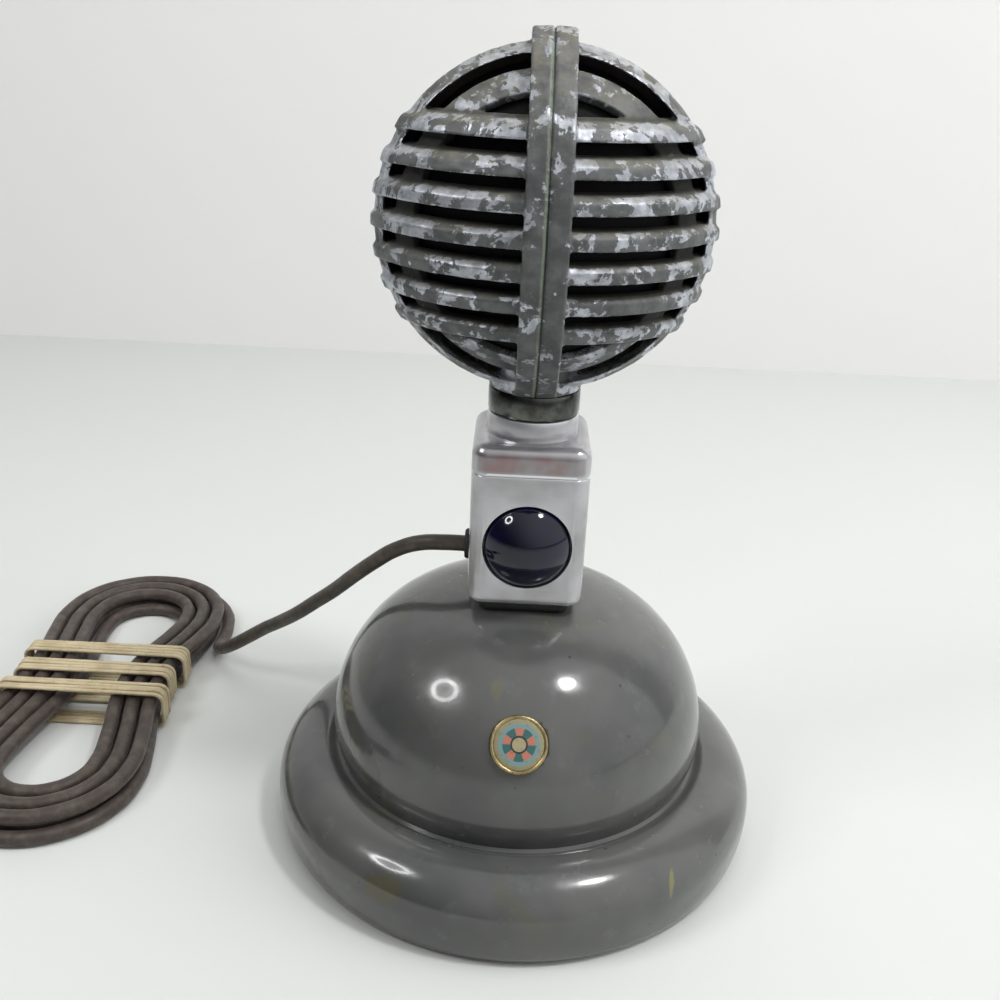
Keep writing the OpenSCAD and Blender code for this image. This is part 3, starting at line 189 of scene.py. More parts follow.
def finish_mesh(bm, name, sharp=40):
    """Turns the faces outwards, shades them smooth up to an angle, and links the object."""
    bmesh.ops.remove_doubles(bm, verts=bm.verts, dist=0.002 * MM)
    bmesh.ops.recalc_face_normals(bm, faces=bm.faces)
    mesh = bpy.data.meshes.new(name)
    bm.to_mesh(mesh)
    bm.free()
    return link_mesh(mesh, name, sharp)


def link_mesh(mesh, name, sharp=40):
    """Puts a mesh in the scene, shaded smooth up to an angle."""
    obj = bpy.data.objects.new(name, mesh)
    scene.collection.objects.link(obj)
    shade(obj, sharp)
    print(name, "has", len(mesh.polygons), "faces")
    return obj


def skin(bm, rings, closed=False):
    """Joins rings of equal count into a tube. A closed tube comes back to its first ring."""
    last = len(rings) if closed else len(rings) - 1
    for i in range(last):
        a, b = rings[i], rings[(i + 1) % len(rings)]
        for k in range(len(a)):
            m = (k + 1) % len(a)
            bm.faces.new((a[k], a[m], b[m], b[k]))
    if not closed:
        bm.faces.new(rings[0])
        bm.faces.new(rings[-1])


def lathe(name, profile, axis="Z", centre=(0, 0, 0), closed=False, steps=96, sharp=40):
    """Spins (radius, height) points in millimetres round an axis through centre.

    A closed profile is a ring. A solid piece ends at the radius called pole.
    """
    bm = bmesh.new()
    rings = []
    for radius, height in profile:
        ring = []
        for k in range(steps):
            a = 2 * pi * k / steps
            u, v = radius * cos(a), radius * sin(a)
            spot = {"Z": (u, v, height), "Y": (u, height, v), "X": (height, u, v)}[axis]
            ring.append(bm.verts.new((Vector(spot) + Vector(centre)) * MM))
        rings.append(ring)
    skin(bm, rings, closed)
    return finish_mesh(bm, name, sharp)


def rounded_square(width, depth, corner, steps=10):
    """Points of a square with round corners, from the middle of its right side."""
    points = []
    for qx, qy, start in ((1, 1, 0), (-1, 1, 90), (-1, -1, 180), (1, -1, 270)):
        for i in range(steps + 1):
            a = radians(start + 90 * i / steps)
            points.append((
                qx * (width / 2 - corner) + corner * cos(a),
                qy * (depth / 2 - corner) + corner * sin(a),
            ))
    return points


def block(name, width, depth, corner, sections, sharp=40):
    """Stacks rounded squares. A section is (height, how far it is drawn in on all sides)."""
    bm = bmesh.new()
    rings = []
    for height, inset in sections:
        outline = rounded_square(width - 2 * inset, depth - 2 * inset, max(corner - inset, 0.2))
        rings.append([bm.verts.new((x * MM, y * MM, height * MM)) for x, y in outline])
    skin(bm, rings)
    return finish_mesh(bm, name, sharp)


def edge_arc(z, r, upwards, steps=6):
    """Sections of a rounded edge of radius r that ends at height z."""
    angles = [pi / 2 * i / steps for i in range(steps + 1)]
    if upwards:
        return [(z - r + r * sin(a), r - r * cos(a)) for a in angles]
    return [(z + r - r * cos(a), r - r * sin(a)) for a in angles]


def settle(obj):
    """Makes an object's modifiers real, so that its mesh is its shape."""
    graph = bpy.context.evaluated_depsgraph_get()
    graph.update()
    mesh = bpy.data.meshes.new_from_object(obj.evaluated_get(graph))
    obj.modifiers.clear()
    old = obj.data
    obj.data = mesh
    bpy.data.meshes.remove(old)
    return obj


def carve(obj, *tools, how="DIFFERENCE", solver="EXACT"):
    """Cuts obj with each tool, and removes the tools."""
    for tool in tools:
        cutter = obj.modifiers.new("cut", "BOOLEAN")
        cutter.object = tool
        cutter.operation = how
        cutter.solver = solver
    settle(obj)
    for tool in tools:
        bpy.data.objects.remove(tool)


def shade(obj, sharp):
    """Shades an object smooth up to an angle."""
    obj.data.polygons.foreach_set("use_smooth", [True] * len(obj.data.polygons))
    obj.data.set_sharp_from_angle(angle=radians(sharp))


def soften(obj, width, segments=2, angle=50):
    """Rounds the sharp edges of a finished block a little."""
    bevel = obj.modifiers.new("soft edge", "BEVEL")
    bevel.width = width * MM
    bevel.segments = segments
    bevel.limit_method = "ANGLE"
    bevel.angle_limit = radians(angle)
    settle(obj)
    shade(obj, 40)


# %% Colour and material helpers
def ink(code):
    """An sRGB hex colour as the linear values that a shader wants."""
    parts = [int(code[i:i + 2], 16) / 255 for i in (0, 2, 4)]
    return [c / 12.92 if c <= 0.04045 else ((c + 0.055) / 1.055) ** 2.4 for c in parts] + [1]


def add(tree, kind, inputs=None, **settings):
    """Adds a node. settings are its own properties, and inputs hold values or links."""
    made = tree.nodes.new(kind)
    for name, value in settings.items():
        setattr(made, name, value)
    for key, value in (inputs or {}).items():
        if isinstance(value, bpy.types.NodeSocket):
            tree.links.new(value, made.inputs[key])
        else:
            made.inputs[key].default_value = value
    return made


def finish(name, **constants):
    """A new material with one Principled shader, whose constant values sit on its sockets."""
    material = bpy.data.materials.new(name)
    material.use_nodes = True
    tree = material.node_tree
    shader = tree.nodes["Principled BSDF"]
    for key, value in constants.items():
        shader.inputs[key.replace("_", " ")].default_value = value
    place = add(tree, "ShaderNodeTexCoord").outputs["Object"]
    return material, tree, shader, place


def grain(tree, place, size, detail=4, roughness=0.55, distortion=0.0):
    """Noise whose features are about size millimetres across."""
    return add(tree, "ShaderNodeTexNoise", {
        "Vector": place,
        "Scale": 1 / (size * MM),
        "Detail": detail,
        "Roughness": roughness,
        "Distortion": distortion,
    }).outputs[0]


def between(tree, value, low, high, out_low=0.0, out_high=1.0):
    """Turns a stretch of a value into an eased stretch of another."""
    return add(tree, "ShaderNodeMapRange", {
        "Value": value,
        "From Min": low,
        "From Max": high,
        "To Min": out_low,
        "To Max": out_high,
    }, interpolation_type="SMOOTHSTEP").outputs[0]


# A Mix node has a row of sockets for each kind of data. These are its colours.
MIX_A, MIX_B, MIX_RESULT = 6, 7, 2


def blend(tree, amount, a, b):
    """Goes from colour a to colour b as the amount goes from 0 to 1."""
    return add(tree, "ShaderNodeMix", {0: amount, MIX_A: a, MIX_B: b},
               data_type="RGBA").outputs[MIX_RESULT]


def reckon(tree, how, a, b=0.0, c=0.0):
    """One step of arithmetic on values of the shader or the mesh."""
    return add(tree, "ShaderNodeMath", {0: a, 1: b, 2: c}, operation=how).outputs[0]


def cover(tree, tone, code, amount, most=1.0):
    """Lays a colour over a tone, by an amount from 0 to 1 of the most that it may hide."""
    return blend(tree, reckon(tree, "MULTIPLY", amount, most), tone, ink(code))


def relief(tree, shader, height, depth):
    """Bump of a depth in millimetres."""
    bump = add(tree, "ShaderNodeBump", {"Height": height, "Distance": depth * MM, "Strength": 1.0})
    tree.links.new(bump.outputs[0], shader.inputs["Normal"])


def paint_on(tree, shader, **links):
    """Links values to the shader's sockets by name."""
    for key, source in links.items():
        tree.links.new(source, shader.inputs[key.replace("_", " ")])


def wear(obj, material):
    """Gives one material to a whole object."""
    obj.data.materials.clear()
    obj.data.materials.append(material)
    return obj

# %% [markdown]
# ## The enamelled bell
# The base is one steel pressing: a low round tier, a crease, and a dome with a small flat
# landing on top. A turned profile gives it exactly, with a wall, so that the underside is
# hollow as on the real one. Points are close together where the light runs over the curve.

# %% Profile of the bell
base_radius, foot_radius, foot_gap = 58.5, 56.5, 0.8
tier_wide, tier_top, crown_radius = 9.5, 19.7, 46.8
crease_radius, crease_height, crease_fillet = 43.7, 18.8, 0.6
dome_radius, dome_wide, dome_top, landing_radius = 44.8, 26, 59.8, 9.54
shell_wall, landing_room, crease_room = 2.4, 2.5, 2
stud_radius, bore_gap = 7.94, 0.05


def sweep(cx, cy, a, b, start, end, steps=20):
    """Points of an oval arc in millimetres, from one angle to another in degrees."""
    angles = [radians(start + (end - start) * i / steps) for i in range(steps + 1)]
    return [(cx + a * cos(t), cy + b * sin(t)) for t in angles]


def slope_in(steps=16):
    """The eased way down from the crown of the tier into the crease."""
    out = []
    for i in range(1, steps + 1):
        u = i / steps
        ease = (1 - cos(pi * u)) / 2
        x = crown_radius + (crease_radius + crease_fillet - crown_radius) * u
        out.append((x, tier_top + (crease_height - tier_top) * ease))
    return out


def slope_out(steps=16):
    """The foot of the dome, which swells out of the crease."""
    low = crease_height + crease_fillet
    return [(crease_radius + (dome_radius - crease_radius) * sin(pi / 2 * i / steps),
             low + (dome_wide - low) * i / steps) for i in range(steps + 1)]


dome_span, dome_rise = dome_radius - landing_radius, dome_top - dome_wide
bell_outside = (
    sweep(foot_radius, tier_wide, base_radius - foot_radius, tier_wide - foot_gap, -90, 0)
    + sweep(crown_radius, tier_wide, base_radius - crown_radius, tier_top - tier_wide, 0, 90, 30)
    + slope_in()
    + slope_out()
    + sweep(landing_radius, dome_wide, dome_span, dome_rise, 0, 90, 60)
)
inside_landing = landing_radius + landing_room
bell_inside = (
    [(foot_radius - shell_wall, foot_gap)]
    + sweep(crown_radius, tier_wide, base_radius - shell_wall - crown_radius,
            tier_top - shell_wall - tier_wide, 0, 90)
    + [(crease_radius + crease_room, crease_height - shell_wall),
       (crease_radius - shell_wall, crease_height - shell_wall),
       (crease_radius - shell_wall, crease_height + crease_fillet)]
    + sweep(inside_landing, dome_wide, dome_radius - shell_wall - inside_landing,
            dome_rise - shell_wall, 0, 90)
)
bore = [(stud_radius + bore_gap, height) for height in (dome_top, dome_top - shell_wall)]
bell_profile = bell_outside + bore + bell_inside[::-1]

# %% The bell, with a seat for the badge
badge_angle = radians(31)
badge_radius, badge_seat, seat_gap = 6.1, 0.5, 0.05
pin_radius, pin_length, pin_gap = 1.2, 4.6, 0.05
badge_y = landing_radius + dome_span * cos(badge_angle)
badge_z = dome_wide + dome_rise * sin(badge_angle)
badge_tilt = atan2(sin(badge_angle) / dome_rise, cos(badge_angle) / dome_span)
badge_turn = Matrix.Rotation(pi / 2 - badge_tilt, 4, "X")
badge_centre = Vector((0, -badge_y, badge_z)) * MM
badge_place = Matrix.Translation(badge_centre) @ badge_turn


def at_badge(obj):
    """Moves a piece that was turned round the origin to the badge's place on the dome."""
    obj.data.transform(badge_place)
    return obj


bell = lathe("bell", bell_profile, closed=True, steps=192)
seat_cutter = at_badge(lathe("seat cutter", [
    (badge_radius + seat_gap, height) for height in (-badge_seat, badge_radius)]))
pin_cutter = at_badge(lathe("pin cutter", [
    (pin_radius + pin_gap, height) for height in (-5, 0)], steps=32))
carve(bell, seat_cutter, pin_cutter)
print("The badge leans back", round(90 - badge_tilt * 180 / pi, 1), "degrees")

# %% [markdown]
# ## The badge
# A small brass pan sits in a seat on the front of the dome, with its face sunk under a rolled
# rim. The face is hard enamel in a few flat colours. Its pattern is a plain one of its own:
# five rays inside two rings, drawn by the material from the distance and the angle.

# %% Rim and face of the badge
pan_radius, pan_floor = badge_radius - 0.8, 0.24
rolled_rim = [(badge_radius, 0.34), (6.02, 0.5), (5.86, 0.6), (5.66, 0.6), (5.45, 0.48)]
badge_rim = at_badge(lathe("badge_rim_piece", [
    (badge_radius, -badge_seat), *rolled_rim,
    (pan_radius, 0.3), (pan_radius, pan_floor), (pole, pan_floor),
    (pole, -pin_length), (pin_radius, -pin_length), (pin_radius, -badge_seat),
], closed=True))
face_radius, face_low, face_high = pan_radius - 0.02, 0.25, 0.6
badge_face = at_badge(lathe("badge_face_piece", [
    (pole, face_low), (face_radius, face_low), (face_radius, 0.42),
    (5.1, 0.5), (4, 0.56), (2, face_high), (pole, face_high),
]))

# %% [markdown]
# ## The gasket
# A pad of black rubber, a little smaller than the case, keeps the case from marking the
# enamel. It is squeezed, so its sides swell in the middle.

# %% The rubber gasket
gasket_width, gasket_depth, gasket_corner = 20.1, 24.8, 2.2
gasket_low, gasket_high, gasket_bore = 59.8, 62.2, 8
gasket = block("gasket", gasket_width, gasket_depth, gasket_corner, [
    (gasket_low, 0.5), (gasket_low + 0.4, 0.15), (gasket_low + 1.2, 0),
    (gasket_high - 0.4, 0.15), (gasket_high, 0.5),
], sharp=60)
carve(gasket, lathe("gasket bore", [(gasket_bore, height) for height in (55, 65)]))

# %% [markdown]
# ## The switch case
# Two brass castings, plated: a lower box that holds the switch, and an upper box with a round
# collar and the threaded end that carries the head. A fine line parts them. Both are stacks of
# rounded squares. The lower box is cut for the button, the cord, the hollow and the stud, and
# its cut edges are eased; the upper box is cut for its hollow and the bush.

# %% Sizes of the case
case_side, case_depth, case_corner = 25.8, 28, 3.6
case_low, case_part, case_high = 62.2, 93.0, 99.6
case_wall, case_floor, inner_corner, cut_edge = 2.2, 3, 1.6, 0.25
low_edge, top_edge, parting = 1.4, 2.6, 0.3
button_height, button_hole = 76.6, 9.9
cord_y, cord_height, grommet_hole = 3, 69.1, 3.0
thread_gap = 0.04

# %% The lower box
# A section close to the parting line keeps the rubbed edge of its plating narrow; that pale edge is
# also a painted highlight.
parting_step = 0.8
body_sections = (
    edge_arc(case_low, low_edge, False)
    + [(64.2, 0), (66, 0), (case_part - 4, 0), (case_part - parting_step, 0)]
    + edge_arc(case_part, parting, True, 3)
)
switch_body = block("switch_case_body", case_side, case_depth, case_corner, body_sections)
hollow = block("hollow", case_side - 2 * case_wall, case_depth - 2 * case_wall, inner_corner,
               [(case_low + case_floor, 0), (case_part + 5, 0)])
through_wall = (-20, -5)
front_hole = lathe("front hole", [(button_hole, y) for y in through_wall], "Y",
                   (0, 0, button_height))
cord_hole = lathe("cord hole", [(grommet_hole, x) for x in through_wall], "X",
                  (0, cord_y, cord_height), steps=48)
stud_hole = lathe("stud hole", [(stud_radius + thread_gap, height) for height in (60, 70)])
carve(switch_body, hollow, front_hole, cord_hole, stud_hole)
soften(switch_body, cut_edge)

# %% The upper box
cap_sections = (
    edge_arc(case_part, parting, False, 3)
    + [(case_part + parting_step, 0), (95, 0), (96, 0)]
    + edge_arc(case_high, top_edge, True, 10)
)
bush_radius, cap_hollow_width, cap_hollow_top, cap_hollow_corner = 5, 16, 96.4, 1.2
switch_cap = block("switch_case_cap", case_side, case_depth, case_corner, cap_sections)
cap_hollow = block("cap hollow", cap_hollow_width, case_depth - 2 * case_wall,
                   cap_hollow_corner, [(case_part - 2, 0), (cap_hollow_top, 0)])
bush_hole = lathe("bush hole", [(bush_radius, height) for height in (90, 110)])
carve(switch_cap, cap_hollow, bush_hole)

# %% The collar and its thread, joined to the upper box
collar_foot, collar_low, collar_radius, collar_top = 10.6, 97.5, 10.1, 104.1
thread_root, thread_top, thread_pitch = 7.55, 106.8, 0.94
root_flat, crest_start, crest_end = 0.12, 0.42, 0.56
collar_profile = [
    (bush_radius, collar_low), (collar_foot, collar_low), (collar_foot, 99.2),
    (10.28, 99.8), (10.12, 100.4), (collar_radius, 101), (collar_radius, collar_top - 0.5),
    (9.95, collar_top - 0.14), (9.6, collar_top), (stud_radius, collar_top),
]
thread_z = collar_top + 0.3
while thread_z < thread_top - 0.6:
    collar_profile += [
        (thread_root, thread_z), (thread_root, thread_z + root_flat),
        (stud_radius, thread_z + crest_start), (stud_radius, thread_z + crest_end),
    ]
    thread_z += thread_pitch
collar_profile += [(7.5, thread_top), (bush_radius, thread_top)]
collar = lathe("collar", collar_profile, closed=True, steps=128)


def weld(name, *objects):
    """Joins whole meshes into one object, with its sharp edges found again."""
    bm = bmesh.new()
    for obj in objects:
        bm.from_mesh(obj.data)
        bpy.data.objects.remove(obj)
    mesh = bpy.data.meshes.new(name)
    bm.to_mesh(mesh)
    bm.free()
    return link_mesh(mesh, name)


switch_cap = weld("switch_case_cap", switch_cap, collar)

# %% [markdown]
# ## The push button
# A dome of black phenolic with a blue cast, polished like glass. It is turned round the axis
# that it travels along, and a flange behind the wall of the case keeps it in.

# %% The button
button_radius, button_front, button_back = 9.5, -19.0, -10.5
flange_radius, flange_front = 10.4, -11.75
crown, crown_steps, crown_edge, crown_drop = 5.1, 24, 0.25, 0.03
tenon_radius, tenon_end = 2, -14.5
ball = (button_radius ** 2 + crown ** 2) / (2 * crown)
button_profile = [
    (pole, button_back), (flange_radius, button_back), (flange_radius, flange_front),
    (button_radius, flange_front), (button_radius, button_front + crown + 0.5),
]
for i in range(crown_steps + 1):
    reach = (button_radius - crown_edge) * (1 - i / crown_steps) + pole
    button_profile.append((reach, button_front + ball - sqrt(ball ** 2 - reach ** 2) + crown_drop))
button = lathe("push_button_dome", button_profile, "Y", (0, 0, button_height), steps=128, sharp=50)
tenon_hole = lathe("tenon hole", [(tenon_radius, y) for y in (tenon_end, -8)], "Y",
                   (0, 0, button_height), steps=32)
carve(button, tenon_hole)

# %% [markdown]
# ## The return spring
# A coil of steel wire pushes the button back. It is its own piece, with a mesh of its own,
# between the button's flange and the guide plate.

# %% The coil
spring_front, spring_back, spring_seat = -10.1, -2.4, -2.0
spring_radius, wire_radius, spring_turns = 4.2, 0.35, 4
turn_steps, wire_sides = 24, 8
coil_steps = spring_turns * turn_steps
bm = bmesh.new()
coil = []
for i in range(coil_steps + 1):
    round_coil = 2 * pi * i / turn_steps
    along = spring_front + (spring_back - spring_front) * i / coil_steps
    outward = Vector((cos(round_coil), 0, sin(round_coil)))
    middle = outward * spring_radius + Vector((0, along, button_height))
    wire_ring = []
    for k in range(wire_sides):
        a = 2 * pi * k / wire_sides
        wire_ring.append(middle + wire_radius * (outward * cos(a) + Vector((0, sin(a), 0))))
    coil.append([bm.verts.new(point * MM) for point in wire_ring])
skin(bm, coil)
spring_coil = finish_mesh(bm, "return_spring_coil", sharp=80)

# %% [markdown]
# ## The cord's grommet and the coupling ring
# The cord leaves through a rubber grommet with a rounded lip. Above the case a plain ring of
# dark nickel-plated brass screws the head to the thread. Both are turned.

# %% Grommet
grommet_back, grommet_face, groove_front, groove_back = -9.5, -13.9, -12.9, -10.7
grommet_lip = [(2.6, -14.35), (3.2, -14.3), (3.55, grommet_face), (3.6, -13.3), (3.5, groove_front)]
grommet = lathe("grommet", [
    (cord_radius, grommet_face), *grommet_lip,
    (grommet_hole, groove_front), (grommet_hole, groove_back), (3.6, groove_back),
    (3.6, grommet_back), (cord_radius, grommet_back),
], "X", (0, cord_y, cord_height), closed=True, steps=64)

# %% Coupling ring
ring_low, ring_high, ring_radius = 104.3, 109.7, 10.1
lip_radius, lip_depth = 6.45, 1.65
ring_edge, edge_middle = 0.5, 0.15
ring_bore = stud_radius + thread_gap
coupling = lathe("coupling_ring_piece", [
    (ring_bore, ring_low), (ring_radius - ring_edge, ring_low),
    (ring_radius - edge_middle, ring_low + edge_middle), (ring_radius, ring_low + ring_edge),
    (ring_radius, ring_high - ring_edge), (ring_radius - edge_middle, ring_high - edge_middle),
    (ring_radius - ring_edge, ring_high), (lip_radius, ring_high),
    (lip_radius, ring_high - lip_depth), (ring_bore, ring_high - lip_depth),
], closed=True, steps=128)

# %% [markdown]
# ## The ribbed head
# The head is two zinc castings. Its outline follows a rule: two shallow balls that meet in a
# straight rim, the same all round the axis that runs from front to back. Seven ribs follow that
# outline level, and the double spine follows it upright, so one tree of Geometry Nodes makes
# them all: it sweeps a section along a straight line and bends the line round the outline. The
# rim and the rings behind the ribs are turned. A voxel remesh then melts them into one casting
# with soft corners, as sand or a worn die leaves them. It is cut for the fittings, roughened,
# and parted in the middle plane into the two castings.

# %% Sizes of the head
neck_z, head_z = 109.75, 144.75
head_radius, half_depth, rim_half = 35.2, 28, 6
ball_shift = (head_radius ** 2 + rim_half ** 2 - half_depth ** 2) / (2 * (half_depth - rim_half))
ball_radius = half_depth + ball_shift
rib_count, rib_pitch, rib_depth, rib_stand = 7, 6.3, 3.4, 0.8
rib_low, rib_face_top, rib_bevel_top, rib_back_top = -1.5, 0.9, 1.8, 2.7
rib_bevel_depth, rib_back_low = 0.9, -1.2
spine_width, spine_stand, web_depth, web_taper = 8.8, 1.7, 8, 0.8
spine_groove, groove_half = 0.6, 0.3
casting_corner = 0.3
rim_inner_radius, rim_groove_radius, rim_groove = 32.3, 33.5, 0.4
back_ring_radius, back_ring_width, back_ring_depth = 29.6, 3.8, 1.8
back_ring_front, back_ring_bevel, back_ring_slope = 2.3, 1.2, 0.3
boss_top = neck_z + 8.6 - head_z
notch_radius, sleeve_radius, pocket_radius = 10.9, 6.4, 9
voxel = 0.34
print("Ball radius", round(ball_radius, 2), "mm, shifted", round(ball_shift, 2), "mm")


# %% Sections as closed curves: across is the depth below the outline, up is the height
def section(name, corners, radius=casting_corner, steps=4):
    """A closed outline in millimetres with every corner rounded."""
    points = []
    for i, corner in enumerate(corners):
        here, before = Vector(corner), Vector(corners[i - 1])
        after = Vector(corners[(i + 1) % len(corners)])
        start = here + (before - here).normalized() * radius
        end = here + (after - here).normalized() * radius
        for k in range(steps + 1):
            t = k / steps
            points.append((1 - t) ** 2 * start + 2 * t * (1 - t) * here + t ** 2 * end)
    data = bpy.data.curves.new(name, "CURVE")
    line = data.splines.new("POLY")
    line.points.add(len(points) - 1)
    for place, point in zip(points, line.points):
        point.co = (place.x * MM, -place.y * MM, 0, 1)
    line.use_cyclic_u = True
    obj = bpy.data.objects.new(name, data)
    scene.collection.objects.link(obj)
    return obj


rib_section = section("rib section", [
    (0, rib_low), (0, rib_face_top), (rib_bevel_depth, rib_bevel_top),
    (rib_depth, rib_back_top), (rib_depth, rib_back_low),
])
groove_floor = spine_groove - spine_stand
web_half = spine_width / 2 - web_taper
spine_section = section("spine section", [
    (-spine_stand, -spine_width / 2), (-spine_stand, -groove_half),
    (groove_floor, -groove_half), (groove_floor, groove_half),
    (-spine_stand, groove_half), (-spine_stand, spine_width / 2),
    (web_depth, web_half), (web_depth, -web_half),
])


# %% A Geometry Nodes tree with named inputs
def plant(name, **inputs):
    """A new tree and the sockets of its named inputs. It takes a material and gives geometry."""
    tree = bpy.data.node_groups.new(name, "GeometryNodeTree")
    for label, kind in {**inputs, "Material": "Material"}.items():
        tree.interface.new_socket(label.replace("_", " "), in_out="INPUT",
                                  socket_type="NodeSocket" + kind)
    tree.interface.new_socket("Geometry", in_out="OUTPUT", socket_type="NodeSocketGeometry")
    return tree, add(tree, "NodeGroupInput").outputs


def end_tree(tree, geometry, material):
    """Gives the geometry its material and hands it out of the tree."""
    coated = add(tree, "GeometryNodeSetMaterial", {"Geometry": geometry, "Material": material})
    add(tree, "NodeGroupOutput", {0: coated.outputs[0]})
    print("The tree has", len(tree.nodes), "nodes")


def ramp_up(tree, value, start):
    """0 up to start, 1 from one unit later on."""
    return add(tree, "ShaderNodeClamp", {0: reckon(tree, "SUBTRACT", value, start)}).outputs[0]


# %% The tree that bends a moulding round the outline
bend, given = plant("bend a moulding round the head", Section="Object", Count="Int",
                    Pitch="Float", Head_radius="Float", Ball_radius="Float", Ball_shift="Float")

# The straight moulding is four units long: front, right side, back and left side.
line = add(bend, "GeometryNodeCurvePrimitiveLine", {"End": (4, 0, 0)}).outputs[0]
fine_line = add(bend, "GeometryNodeResampleCurve", {"Curve": line, "Count": 241}).outputs[0]
drawn = add(bend, "GeometryNodeObjectInfo", {"Object": given["Section"]}).outputs["Geometry"]
moulding = add(bend, "GeometryNodeCurveToMesh", {"Curve": fine_line, "Profile Curve": drawn})
half_stack = reckon(bend, "MULTIPLY", reckon(bend, "SUBTRACT", given["Count"], 1.0), -0.5)
lowest = reckon(bend, "MULTIPLY", half_stack, given["Pitch"])
low_end = add(bend, "ShaderNodeCombineXYZ", {"Z": lowest})
step_up = add(bend, "ShaderNodeCombineXYZ", {"Z": given["Pitch"]})
levels = add(bend, "GeometryNodeMeshLine", {
    "Count": given["Count"], "Start Location": low_end.outputs[0], "Offset": step_up.outputs[0]})
placed = add(bend, "GeometryNodeInstanceOnPoints", {
    "Points": levels.outputs[0], "Instance": moulding.outputs[0]})
whole = add(bend, "GeometryNodeRealizeInstances", {0: placed.outputs[0]})

# A point at a depth and a height goes to the outline that lies that depth below the surface.
spot = add(bend, "ShaderNodeSeparateXYZ", {0: add(bend, "GeometryNodeInputPosition").outputs[0]})
along, height = spot.outputs["X"], spot.outputs["Z"]
depth = reckon(bend, "MULTIPLY", spot.outputs["Y"], -1.0)
height_2 = reckon(bend, "MULTIPLY", height, height)
rim_r = reckon(bend, "SUBTRACT", given["Head radius"], depth)
reach_2 = reckon(bend, "SUBTRACT", reckon(bend, "MULTIPLY", rim_r, rim_r), height_2)
reach = reckon(bend, "SQRT", reach_2)
ball_r = reckon(bend, "SUBTRACT", given["Ball radius"], depth)
plan_2 = reckon(bend, "SUBTRACT", reckon(bend, "MULTIPLY", ball_r, ball_r), height_2)
rightward = reckon(bend, "SUBTRACT", ramp_up(bend, along, 0.0), ramp_up(bend, along, 2.0))
backward = reckon(bend, "SUBTRACT", ramp_up(bend, along, 1.0), ramp_up(bend, along, 3.0))
x = reckon(bend, "MULTIPLY", reach, reckon(bend, "MULTIPLY_ADD", rightward, 2.0, -1.0))
chord = reckon(bend, "SQRT", reckon(bend, "SUBTRACT", plan_2, reckon(bend, "MULTIPLY", x, x)))
bulge = reckon(bend, "SUBTRACT", chord, given["Ball shift"])
y = reckon(bend, "MULTIPLY", bulge, reckon(bend, "MULTIPLY_ADD", backward, 2.0, -1.0))
bent = add(bend, "ShaderNodeCombineXYZ", {"X": x, "Y": y, "Z": height})
moved = add(bend, "GeometryNodeSetPosition", {
    "Geometry": whole.outputs[0], "Position": bent.outputs[0]})
joined = add(bend, "GeometryNodeMergeByDistance", {
    "Geometry": moved.outputs[0], "Distance": 0.01 * MM})
end_tree(bend, joined.outputs[0], given["Material"])


# %% Ribs and spine
def grow(name, tree, **inputs):
    """Runs a tree on a new object and returns the result as a plain mesh object."""
    obj = bpy.data.objects.new(name, bpy.data.meshes.new(name))
    scene.collection.objects.link(obj)
    modifier = obj.modifiers.new("grow", "NODES")
    modifier.node_group = tree
    for item in tree.interface.items_tree:
        label = item.name.replace(" ", "_")
        if item.in_out == "INPUT" and label in inputs:
            modifier[item.identifier] = inputs[label]
    return settle(obj)


def bend_round_head(name, drawn_section, count):
    """A stack of mouldings of one section, bent round the outline of the head."""
    piece = grow(name, bend, Section=drawn_section, Count=count, Pitch=rib_pitch * MM,
                 Head_radius=head_radius * MM, Ball_radius=ball_radius * MM,
                 Ball_shift=ball_shift * MM)
    bpy.data.objects.remove(drawn_section)
    print(name, [round(c / MM, 1) for c in piece.dimensions])
    return piece


ribs = bend_round_head("ribs", rib_section, rib_count)
spine = bend_round_head("spine", spine_section, 1)
spine.data.transform(Matrix.Rotation(pi / 2, 4, "Y"))


# %% Rim and back rings, turned round the axis from front to back
def outline_y(depth, radius):
    """How far from the middle plane the outline at a depth is, at a radius."""
    reach = head_radius - depth
    return sqrt((ball_radius - depth) ** 2 - min(radius, reach) ** 2) - ball_shift


def mirrored(profile):
    """The same (radius, y) profile on the other side of the middle plane."""
    return [(r, -y) for r, y in profile]


rim_outer_radius = head_radius - rib_stand
groove_flat, groove_open = 0.25, 0.35
rim_stations = [
    (rim_inner_radius, 0), (rim_inner_radius + 0.3, -0.05), (rim_groove_radius - groove_open, 0),
    (rim_groove_radius - groove_flat, rim_groove), (rim_groove_radius + groove_flat, rim_groove),
    (rim_groove_radius + groove_open, 0), (rim_outer_radius - 0.2, 0), (rim_outer_radius, 0),
]
rim_face = [(r, cut - outline_y(rib_stand, r)) for r, cut in rim_stations]
rim = lathe("rim", rim_face + mirrored(rim_face)[::-1], "Y", closed=True, steps=192)
ring_steps = 8
ring_radii = [back_ring_radius - back_ring_width * i / ring_steps for i in range(ring_steps + 1)]
bevel_radius = back_ring_radius - back_ring_width - back_ring_bevel
ring_behind = back_ring_front + back_ring_depth + back_ring_slope
ring_face = [(r, -outline_y(back_ring_front, r)) for r in ring_radii]
ring_face += [(bevel_radius, -outline_y(ring_behind - 0.4, bevel_radius))]
ring_back = [(r, -outline_y(ring_behind, r)) for r in [bevel_radius] + ring_radii[::-1]]
ring_section = ring_face + ring_back
front_ring = lathe("front ring", ring_section, "Y", closed=True, steps=192)
rear_ring = lathe("rear ring", mirrored(ring_section), "Y", closed=True, steps=192)
boss = lathe("boss", [(ring_radius, neck_z - head_z), (ring_radius, boss_top)])


